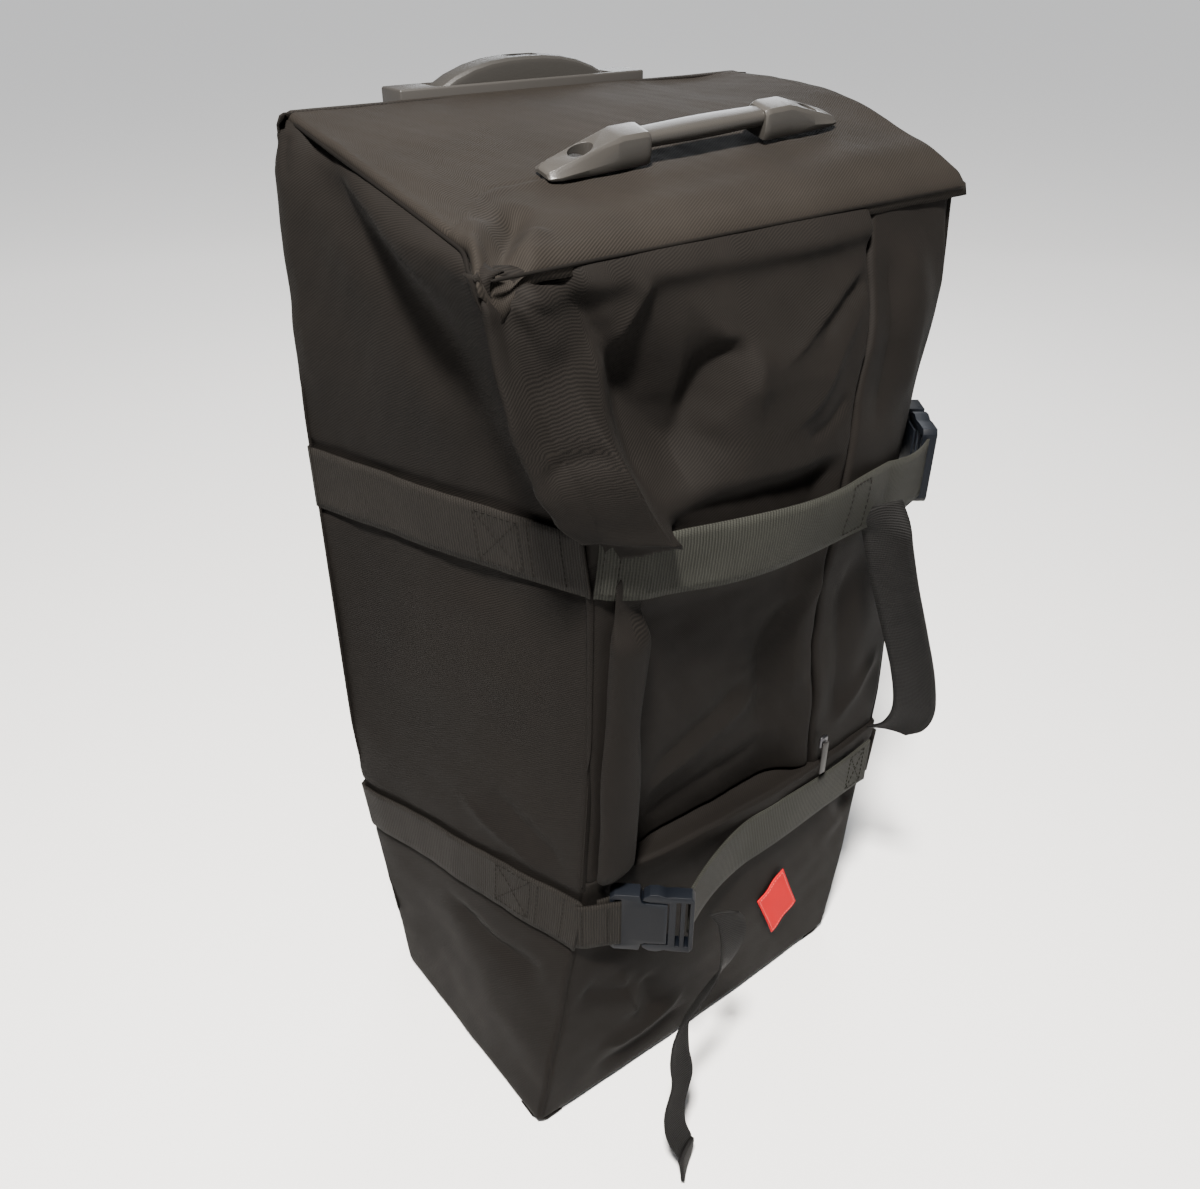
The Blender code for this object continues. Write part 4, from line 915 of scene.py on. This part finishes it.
# ---- straps ----
def webbing(name, route, steps, turn=False):
    """A band whose face is route(share, up), with up running across its width."""
    half, rows = WEBBING_WIDTH / 2, 8
    share, up = np.meshgrid(np.linspace(0.0, 1.0, steps + 1), np.linspace(-half, half, rows + 1))
    x, y, z = route(share.ravel(), up.ravel())
    return thickened(grid_mesh(name, points_of(x, y, z), steps, rows, turn), WEBBING_THICKNESS, 0.0)


def seam_lines(route, low, high, half, lift, cross=True):
    """A sewn box, with a cross in it, between two shares of a band. lift moves it onto the band's face."""
    a, b, c, d = (low, -half), (high, -half), (high, half), (low, half)
    pairs = [(a, b), (b, c), (c, d), (d, a)] + ([(a, c), (d, b)] if cross else [])
    return [points_of(*route(*np.linspace(start, end, 14).T)) + lift for start, end in pairs]


def sewn(name, lines, body, slot="webbing", look=THREAD, **size):
    finished(stitches(name + "_stitching", lines, **size), look, body, slot)


def side_route(sign, upper, front_y_end, shape):
    def route(share, up):
        y = EDGE_Y - 0.001 + (front_y_end - EDGE_Y) * share
        middle = side_strap_z(sign, upper, y)
        x = side_x(sign, y, middle + up) + sign * (shape(y, middle) + 0.0018)
        x = x - sign * rounded(share * 0.23, 0.008)
        return x, y, middle + up

    return route


def side_straps():
    for name, node, sign, upper, end, shape in (
            ("strap_upper_left", "upper_strap_left", -1, True, -0.1165, left_out),
            ("strap_lower_left", "lower_strap_left", -1, False, -0.1175, left_out),
            ("strap_upper_right", "upper_strap_right", 1, True, -0.098, right_out),
            ("strap_lower_right", "lower_strap_right", 1, False, -0.1165, right_out)):
        route = side_route(sign, upper, end, shape)
        # The side straps take the darker webbing copy: painted shade.
        finished(webbing(name, route, 60, turn=sign > 0), SIDE_WEB_PAINTED_SHADE, "case", "webbing", node)
        lift = (sign * 0.001, 0.0, 0.0)
        lines = seam_lines(route, 0.655, 0.8, 0.019, lift)
        for share in (0.83, 0.93):
            lines.append(points_of(*route(np.full(12, share), np.linspace(-0.021, 0.021, 12))) + lift)
        sewn(name, lines, "case")


def strap_wrap(name, path, steps):
    """A strap's end, through the bar of a socket and back onto itself. Its path is in millimetres."""
    flat = smooth_path(metres(path), steps)
    across = np.tile([[0.0, 0.0, 1.0]], (steps, 1))
    # The strap ends take the darker webbing copy: painted shade.
    finished(strip(name, flat, across, WRAP_WIDTH), SIDE_WEB_PAINTED_SHADE, "case", "webbing")
    return flat


def strap_wraps():
    path = ((-140, -116.5), (-134.5, -121.5), (-124, -126.8), (-114.8, -131.4), (-108.8, -134.2),
            (-106, -129.2), (-108, -126.2), (-114, -125), (-123, -122.5))
    flat = strap_wrap("strap_lower_left_wrap", [(*spot, 1000 * LOWER_STRAP_Z) for spot in path], 60)
    z = np.linspace(0.211, 0.253, 12)
    lines = [points_of(*flat[spot, :2], z) + (-0.0006, -0.0012, 0.0) for spot in (5, 19)]
    sewn("strap_lower_left_wrap", lines, "case")
    strap_wrap("strap_upper_right_wrap", (
        (208.5, -15, 551), (215, -42, 548), (223.5, -64, 544), (232.5, -78.5, 540.5), (235, -85, 540),
        (228.5, -86, 540), (222.5, -76, 540.5), (216, -60, 543), (210.5, -42, 547)), 70)


def button_spring():
    """The spring under the release button."""
    turn = np.linspace(0.0, 4.5 * 2 * np.pi, 150)
    low, length, radius = 0.8012, 0.0074, 0.003
    z = low + length * turn / turn[-1]
    line = points_of(radius * np.cos(turn), BUTTON_Y + radius * np.sin(turn), z)
    obj = finished(tube("spring_coil", line, 0.00038, 8), STEEL, "tow_handle", "steel", "button_spring")
    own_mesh(obj)


def upper_strap_z(x):
    share = np.clip((x - 0.06) / 0.12, 0.0, 1.0)
    return UPPER_STRAP_Z + (UPPER_BUCKLE_Z - UPPER_STRAP_Z) * share * share * (3 - 2 * share)


def upper_route(share, up):
    end = UPPER_BUCKLE + Matrix.Rotation(math.radians(UPPER_BUCKLE_TURN), 3, "Z") @ Vector((0.0185, 0.0, 0.0))
    x = -0.1225 + (end.x + 0.1225) * share
    z = upper_strap_z(x) + up
    leave = 0.12
    on_face = front_y(np.maximum(np.minimum(x, leave), -0.112), z) - 0.0046
    # bulged a little by the storm roll's end, and turned back round the bag's edge on its left
    on_face = on_face - 0.0045 * np.exp(-((x + 0.1) / 0.016) ** 2)
    on_face = on_face + 0.008 * smoothstep(-0.11, -0.1225, x) ** 2
    on_face = on_face - 0.0016 * np.sin(40 * x) * np.clip(up / 0.024, -1, 1)
    rise = np.clip((x - leave) / (end.x - leave), 0.0, 1.0)
    return x, on_face + (end.y - on_face) * rise ** 1.5, z


def lower_route(share, up):
    turn = Matrix.Rotation(math.radians(LOWER_BUCKLE_TURN), 3, "Z")
    end = LOWER_BUCKLE + turn @ Vector((0.0165, 0.008, 0.0))
    x = 0.196 + (end.x - 0.196) * share
    z = LOWER_STRAP_Z + up
    on_face = front_y(np.clip(x, -0.11, 0.19), z) - 0.0062
    on_face = on_face + 0.001 * np.sin(34 * x) * np.clip(up / 0.024, -1, 1)
    rise = np.clip((share - 0.62) / 0.38, 0.0, 1.0) ** 1.6
    return x, on_face + (end.y - on_face) * rise, z


def front_straps():
    lift = (0.0, -0.0011, 0.0)
    obj = webbing("strap_upper_front", upper_route, 110, turn=True)
    finished(obj, WEB, "lid", "webbing", "upper_strap_front")
    lines = [line for low, high in ((0.008, 0.03), (0.585, 0.66))
             for line in seam_lines(upper_route, low, high, 0.02, lift, False)]
    sewn("strap_upper_front", lines, "lid")
    obj = webbing("strap_lower_front", lower_route, 90)
    finished(obj, WEB, "lower_strap", "webbing", "lower_strap_front")
    sewn("strap_lower_front", seam_lines(lower_route, 0.035, 0.115, 0.02, lift), "lower_strap")


def loose_straps():
    """The end that hangs from the lower buckle, with its folded hem, and the carry loop."""
    middle = smooth_path(metres(TAIL_ROUTE), 90)
    share = np.linspace(0.0, 1.0, 90)
    angle = np.radians(-35 + 62 * smoothstep(0.1, 0.42, share) + 24 * np.sin(2.2 * np.pi * share))
    across = points_of(np.cos(angle), 0.8 * np.sin(angle), 0.0)
    obj = strip("strap_tail", middle, across, 0.0235, 0.0016, 6, 0.0015)
    # The tail and its hem take the darkest webbing copy: painted shade.
    finished(obj, DARKEST_WEB_PAINTED_SHADE, "lower_strap", "webbing", "lower_strap_tail")
    obj = strip("strap_tail_hem", middle[-9:] + (0.0, -0.0014, 0.0), across[-9:], 0.025, 0.003, 4, 0.0008)
    finished(obj, DARKEST_WEB_PAINTED_SHADE, "lower_strap", "webbing")

    middle = smooth_path(metres(CARRY_ROUTE), 80)
    swing = 1.0 - smoothstep(0.0, 0.22, np.linspace(0.0, 1.0, 80))[:, None]
    across = np.array([[0.55, -0.83, 0.0]]) * (1.0 - swing) + np.array([[0.96, -0.25, 0.1]]) * swing
    obj = strip("carry_strap", middle, across, 0.036, crown=0.0025)
    # The carry loop takes the darkest webbing copy: painted shade on a loop that hangs in shadow.
    finished(obj, DARKEST_WEB_PAINTED_SHADE, "case", "webbing", "carry_loop")


# In millimetres.
TAIL_ROUTE = ((-41.5, -181, 238), (-34, -184, 222), (-34, -186, 200), (-42, -187, 178), (-64, -187, 160),
              (-84, -187, 140), (-90, -191, 112), (-92, -198, 88), (-104, -204, 66), (-107, -210, 46),
              (-103, -218, 26), (-105, -222, 6))
CARRY_ROUTE = ((104, -161.5, 545), (107, -165.5, 530), (112, -167, 512), (124, -170, 475), (146, -171, 425),
               (173, -169, 368), (194, -163, 318), (204, -150, 286), (203, -134, 270))


# ---- buckles ----
UPPER_BUCKLE = Vector((0.2035, -0.116, UPPER_BUCKLE_Z))
UPPER_BUCKLE_TURN = 53 - 180
LOWER_BUCKLE_TURN = -42
LOWER_BUCKLE = Vector((-0.1085, -0.1265, LOWER_STRAP_Z))
LOWER_BUCKLE += Matrix.Rotation(math.radians(LOWER_BUCKLE_TURN), 3, "Z") @ Vector((0.042, 0.0, 0.0))


def from_bmesh(name, body):
    mesh = bpy.data.meshes.new(name)
    body.to_mesh(mesh)
    body.free()
    return link(bpy.data.objects.new(name, mesh))


def plate(name, half, depth):
    """A flat moulding whose outline in x and z, in millimetres, is half and its mirror image."""
    body = bmesh.new()
    outline = metres(half).tolist()
    outline += [(x, -z) for x, z in outline[::-1]]
    body.faces.new([body.verts.new((x, -depth, z)) for x, z in outline])
    pushed = bmesh.ops.extrude_face_region(body, geom=body.faces[:])
    moved = [part for part in pushed["geom"] if isinstance(part, bmesh.types.BMVert)]
    bmesh.ops.translate(body, verts=moved, vec=(0.0, 2 * depth, 0.0))
    bmesh.ops.recalc_face_normals(body, faces=body.faces)
    return from_bmesh(name, body)


def box_cutter(low, high):
    body = bmesh.new()
    bmesh.ops.create_cube(body, size=1.0)
    for vert in body.verts:
        vert.co = Vector([lo + (hi - lo) * (c + 0.5) for c, lo, hi in zip(vert.co, low, high)])
    return from_bmesh("cutter", body)


def carved(obj, cutters, edge):
    """Cuts the cutters out of a moulding and rounds every edge."""
    bpy.context.view_layer.objects.active = obj
    for cutter in cutters:
        cut = obj.modifiers.new("cut", "BOOLEAN")
        cut.operation, cut.solver, cut.object = "DIFFERENCE", "EXACT", cutter
        with bpy.context.temp_override(object=obj, active_object=obj):
            bpy.ops.object.modifier_apply(modifier=cut.name)
        bpy.data.objects.remove(cutter)
    soften(obj, edge, 3)


def soften(obj, edge, segments, weld=False):
    """Rounds every sharp edge."""
    if weld:
        obj.modifiers.new("weld", "WELD").merge_threshold = 1e-5
    bevel = obj.modifiers.new("edges", "BEVEL")
    bevel.width, bevel.segments, bevel.limit_method = edge, segments, "ANGLE"
    bevel.angle_limit = math.radians(28)
    bevel.harden_normals = False
    obj.data.shade_smooth()


def buckle(prefix, place, turn, male_body, outward):
    """A side-release pair along its local X. The male's two arms lie in open notches beside the female."""
    female = plate(prefix + "_socket", (
        (-46, -27.5), (-42.5, -31), (-22.5, -31), (-21.2, -24.5), (-18, -22.6), (-0.6, -22.2)), 0.0065)
    slot = box_cutter((-0.042, -0.02, -0.0255), (-0.037, 0.02, 0.0255))
    dish = box_cutter((-0.032, outward * 0.006, -0.018), (-0.004, outward * 0.01, 0.018))
    carved(female, [slot, dish], 0.001)
    male = plate(prefix + "_plug", (
        (20.5, -27), (18, -31), (5, -31), (-2, -30.2), (-8.5, -32.5), (-15, -31.8), (-19.5, -28.5),
        (-20.2, -25.2), (-15, -23.8), (0.6, -23.6)), 0.0056)
    slots = [box_cutter((x, -0.02, -0.025), (x + 0.0036, 0.02, 0.025)) for x in (0.0062, 0.0134)]
    carved(male, slots, 0.0011)
    for obj, node, body in ((female, "_female", "case"), (male, "_male", male_body)):
        obj.data.transform(Matrix.Translation(place) @ Matrix.Rotation(math.radians(turn), 4, "Z"))
        finished(obj, BUCKLE_BLACK, body, "buckle", prefix + node)


def buckles():
    buckle("lower_buckle", LOWER_BUCKLE, LOWER_BUCKLE_TURN, "lower_strap", -1)
    buckle("upper_buckle", UPPER_BUCKLE, UPPER_BUCKLE_TURN, "lid", 1)


# ---- the roll, the label and the zip ----
def storm_roll():
    """The padded roll over the lid's left edge, flattened where it runs up under the strap."""
    across, up = 40, 90
    u, v = np.meshgrid(np.linspace(0.0, 1.0, across + 1), np.linspace(0.0, 1.0, up + 1))
    z = 0.27 + (0.552 - 0.27) * v
    middle = -0.1075 + 0.005 * (z - 0.285) / 0.23
    angle = 2 * np.pi * u
    width = 0.016 - 0.006 * smoothstep(0.496, 0.524, z) + 0.001 * np.sin(25 * z) + 0.0006 * np.sin(70 * z)
    deep = 0.0118 - 0.0098 * smoothstep(0.492, 0.524, z) - 0.005 * smoothstep(0.29, 0.272, z)
    # slow dents in the padding
    face = np.cos(angle)
    dent = 1.0 + 0.06 * np.sin(38 * z + 2.0 * face) * np.sin(angle) ** 2
    x = middle - 0.0005 + width * np.sin(angle) * dent
    full = 0.55 + 0.45 * np.sign(face) * np.abs(face) ** 0.75
    y = front_y(middle, z) - 0.0015 - deep * full * dent - deep * 0.35 * (face > 0) * face
    points = np.stack([x, y, z], axis=-1)
    # both ends are drawn in and closed
    for row, keep in ((0, 0.05), (1, 0.8), (2, 0.93), (up, 0.05), (up - 1, 0.8), (up - 2, 0.93)):
        centre = points[row].mean(axis=0)
        points[row] = centre + (points[row] - centre) * keep
    obj = grid_mesh("roll_cloth", points, across, up, closed=True)
    finished(obj, FABRIC, "lid", "fabric", "storm_roll")


def label():
    def surface(u, v):
        x = 0.057 + 0.03 * u + 0.028 * (1.0 - v)
        z = 0.137 + 0.024 * u - 0.064 * (1.0 - v)
        out = 0.0058 + 0.0006 * np.sin(9 * u + 5 * v)
        return x, front_y(x, z) - out, z

    obj = panel("label_cloth", surface, 24, 24, thickness=0.0009)
    finished(obj, LABEL_RED, "case", "label", "label_patch")
    corners = ((0.05, 0.05), (0.95, 0.05), (0.95, 0.95), (0.05, 0.95), (0.05, 0.05))
    lines = [points_of(*surface(*np.linspace(start, end, 12).T)) + (0.0, -0.0003, 0.0)
             for start, end in zip(corners, corners[1:])]
    sewn("label", lines, "case", "label", LABEL_THREAD, length=0.002, gap=0.001, radius=0.0003)


def zip_tape():
    """The tape in the seam along the lid's bottom, right side and top, with the zip's coil on its edge."""
    low, high = LID_LOW_Z + 0.0012, 0.743
    left = LID_LEFT_X + 0.03
    z = np.linspace(low, high, 120)
    side_line = points_of(profile(LID_SEAM_X, z) - 0.0004, z)
    bottom = points_of(np.linspace(left, side_line[0, 0], 50), low)[:-1]
    upper = points_of(np.linspace(side_line[-1, 0], left, 50), high)[1:]
    flat = np.vstack([bottom, side_line, upper])
    along = np.gradient(flat, axis=0)
    along /= np.linalg.norm(along, axis=1)[:, None]
    face = cover_y(flat[:, 0] + along[:, 1] * 0.0035, flat[:, 1] - along[:, 0] * 0.0035)
    rows = [points_of(flat[:, 0], face + depth, flat[:, 1]) for depth in np.linspace(0.004, 0.0125, 5)]
    obj = grid_mesh("zip_cloth", np.array(rows), len(flat) - 1, 4)
    # The zip tape takes the darkest webbing copy: painted shade in the seam's gap.
    finished(thickened(obj, 0.0008, 0.0), DARKEST_WEB_PAINTED_SHADE, "lid", "fabric", "zip_tape_lid")
    obj = stitches("zip_coil", rows[:1], length=0.0016, gap=0.0007, radius=0.0008)
    finished(obj, BLACK_PLASTIC, "lid", "fabric")


# ---- the grab handle ----
def grab_place():
    """The handle stands square to the sloping top."""
    x, y, step = GRAB_X, GRAB_Y, 0.01
    along = Vector((2 * step, 0, float(top_z(x + step, y) - top_z(x - step, y)))).normalized()
    back = Vector((0, 2 * step, float(top_z(x, y + step) - top_z(x, y - step))))
    up = along.cross(back).normalized()
    turn = Matrix((along, up.cross(along), up)).transposed().to_4x4()
    return Matrix.Translation((x, y, float(top_z(x, y)) + 0.0014)) @ turn


def lofted(name, sections):
    """A closed skin through sections that have the same number of points."""
    body = bmesh.new()
    rings = [[body.verts.new(spot) for spot in section] for section in sections]
    count = len(rings[0])
    for one, two in zip(rings, rings[1:]):
        for i in range(count):
            body.faces.new((one[i], one[(i + 1) % count], two[(i + 1) % count], two[i]))
    body.faces.new(rings[0][::-1])
    body.faces.new(rings[-1])
    bmesh.ops.recalc_face_normals(body, faces=body.faces)
    return from_bmesh(name, body)


# The photograph shows the handle slimmer than the frame's, by these shares.
GRAB_WIDTH, GRAB_HEIGHT = 0.82, 0.72
# In millimetres: the distance from the handle's middle, the half widths at the base and top, and the height.
GRAB_END = ((48, 12.8, 10.4, 23.5), (50, 13.8, 11.2, 25.2), (53, 14, 11.4, 25.8), (70, 14, 11.2, 25.8),
            (73.5, 14, 11, 24.6), (95, 13.8, 10.6, 15.8), (114, 12.8, 9.8, 8), (119.5, 10.5, 8, 5.2),
            (121, 8.5, 6.2, 3))


def grab_handle():
    place = grab_place()
    for name, sign in (("left", -1), ("right", 1)):
        sections = []
        for a, base, top, h in metres(GRAB_END):
            base, top, h = GRAB_WIDTH * base, GRAB_WIDTH * top, GRAB_HEIGHT * h
            c = min(0.0024, 0.4 * h)
            ring = ((-base, 0.0), (base, 0.0), (base, 0.35 * h), (top, h - c), (top - c * 0.9, h),
                    (-top + c * 0.9, h), (-top, h - c), (-base, 0.35 * h))
            sections.append([(sign * a, w, height) for w, height in ring])
        end = lofted("grab_end_" + name, sections)
        rings = []
        for r, h in ((0.0054, 0.0036), (0.0058, 0.01), (0.0062, 0.024)):
            rings.append([(sign * (0.096 + r * math.cos(t) * (1.55 if math.cos(t) < 0 else 1.25)),
                           r * math.sin(t), h) for t in np.linspace(0, 2 * np.pi, 28, endpoint=False)])
        cavity = lofted("cavity", rings)
        shaft = box_cutter((sign * 0.097 - 0.0026, -0.0026, -0.004), (sign * 0.097 + 0.0026, 0.0026, 0.006))
        carved(end, [cavity, shaft], 0.0009)
        end.data.transform(place)
        finished(end, HANDLE_PLASTIC, "case", "handle_grey", "grab_handle_end_" + name)
    sections = []
    for a in np.linspace(-0.056, 0.056, 33):
        swell = 1.0 + 0.05 * math.cos(math.pi * a / 0.056)
        ring = []
        for t in np.linspace(0, 2 * np.pi, 28, endpoint=False):
            c, q = math.cos(t), math.sin(t)
            ring.append((a, 0.008 * swell * math.copysign(abs(c) ** 0.75, c),
                         0.0116 + 0.0056 * swell * math.copysign(abs(q) ** 0.75, q)))
        sections.append(ring)
    bar = lofted("grab_bar", sections)
    bar.data.shade_smooth()
    bar.data.transform(place)
    finished(bar, HANDLE_PLASTIC, "case", "handle_grey", "grab_handle_bar")


# ---- the back ----
def back_details():
    """Skid rails and fixings down the spine cover, and the stitched seams beside it."""
    low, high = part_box("spine_cover")
    rails = []
    for x in (-0.072, -0.036, 0.0, 0.036, 0.072):
        z = np.linspace(low.z + 0.04, high.z - 0.03, 40)
        rails.append(tube("rail", points_of(x, high.y - 0.0008, z), 0.0034, 12))
    for x in (-0.09, 0.09):
        for z in np.linspace(low.z + 0.02, high.z - 0.02, 5):
            spot = [(x, high.y - 0.0004 + 0.0016 * k, z) for k in (0.0, 0.3, 0.7, 1.0)]
            rails.append(tube("rivet", spot, 0.0042, 14))
    finished(joined("spine_rails", rails), BLACK_PLASTIC, "case", "moulding")
    z = np.linspace(0.1, 0.76, 200)
    lines = [points_of(side * (high.x + inset), EDGE_Y + 0.0012, z)
             for side in (-1, 1) for inset in (0.0035, 0.0075)]
    sewn("back", lines, "case", "fabric", length=0.004, gap=0.002)


def wheel_details():
    """A five-spoked cap on each side of both wheels."""
    for name, sign in (("left", -1), ("right", 1)):
        caps = []
        for face in (-1, 1):
            centre = np.array([sign * WHEEL_MIDDLE[0] + face * 0.0105, *WHEEL_MIDDLE[1:]])
            for k in range(5):
                angle = 2 * math.pi * k / 5 + 0.3
                a, b = (np.array([0.0, math.cos(angle), math.sin(angle)]) * r for r in (0.0125, 0.0205))
                caps.append(tube("spoke", [centre + a, centre + a * 0.6 + b * 0.4, centre + b], 0.002, 8))
        finished(joined("wheel_spokes_" + name, caps), BLACK_PLASTIC, "wheel_" + name, "moulding")


# ---- camera, light and floor ----
def stage():
    camera = bpy.data.objects.new("camera", bpy.data.cameras.new("camera"))
    link(camera)
    camera.location = (-0.4622, -0.5709, 0.8919)
    camera.rotation_euler = (math.radians(90.0 - 32.22), 0.0, math.radians(-37.32))
    camera.data.sensor_width = 36.0
    camera.data.lens = 31.4
    camera.data.clip_start = 0.01
    bpy.context.scene.camera = camera

    bpy.ops.mesh.primitive_plane_add(size=90.0, location=(0.0, 0.0, 0.0))
    floor = bpy.context.object
    floor.name = "floor"
    made, shader = new_material("floor_pale", (0.76, 0.76, 0.755), 0.9)
    shader.inputs["Emission Color"].default_value = (1.0, 1.0, 1.0, 1.0)
    n = Nodes(made)
    place = n.add("ShaderNodeTexCoord").outputs["Object"]
    away = n.add("ShaderNodeVectorMath", {"operation": "LENGTH"}, i0=place)
    glow = n.ramp(n.math("MULTIPLY", away.outputs["Value"], 0.2),
                  ((0.16, (0.0,) * 3), (0.34, (0.24,) * 3), (0.6, (0.58,) * 3)))
    n.link(glow, shader.inputs["Emission Strength"])
    floor.data.materials.append(made)

    def area(name, place, target, size, watts, color=(1.0, 1.0, 1.0)):
        light = bpy.data.lights.new(name, "AREA")
        light.size = size
        light.energy = watts
        light.color = color
        obj = link(bpy.data.objects.new(name, light))
        obj.location = place
        obj.rotation_euler = (Vector(target) - Vector(place)).to_track_quat("-Z", "Y").to_euler()

    area("key_overhead", (-0.74, -0.72, 2.36), (0.0, 0.0, 0.62), 0.26, 330.0, (1.0, 0.955, 0.9))
    area("soft_front", (-0.9, -2.4, 1.3), (0.0, 0.0, 0.4), 1.4, 4.0, (1.0, 0.97, 0.93))
    area("rim_back", (1.4, 1.5, 1.7), (0.0, 0.0, 0.5), 1.2, 30.0, (0.93, 0.96, 1.0))
    world = bpy.data.worlds.new("studio")
    bpy.context.scene.world = world
    world.use_nodes = True
    world.node_tree.nodes["Background"].inputs[0].default_value = (0.93, 0.95, 1.0, 1.0)
    world.node_tree.nodes["Background"].inputs[1].default_value = 0.24


def dress_frame():
    """Materials for the frame nodes that keep their own shape."""
    looks = {"steel": STEEL, "tube": TUBE_METAL, "tyre": RUBBER, "board": BOARD, "moulding": BLACK_PLASTIC,
             "buckle": BUCKLE_BLACK, "handle_grey": HANDLE_PLASTIC, "webbing": WEB, "fabric": FABRIC,
             "label": LABEL_RED}
    own = {"handle_bezel": BEZEL_PLASTIC, "tow_grip": GRIP_PLASTIC, "zip_slider": ZIP_METAL}
    slots = {row["node"]: row["material_slot"] for row in frame["record"]["subparts"]}
    for name, node in NODES.items():
        node.data.materials.clear()
        node.data.materials.append(own.get(name) or looks[slots[name]])
        soften(node, 0.0006, 2, weld=True)


dress_frame()
side("side_cloth_left", "left_side_panel", -1, left_out, 96, 260, (0.01, 0.004, 0.0125))
side("side_cloth_right", "right_side_panel", 1, right_out, 80, 200, (0.01, 0.01, 0.008))
back()
top()
front_cover()
right_border()
lower_front()
pipings()
side_straps()
strap_wraps()
front_straps()
loose_straps()
buckles()
storm_roll()
label()
zip_tape()
grab_handle()
back_details()
wheel_details()
button_spring()
stage()
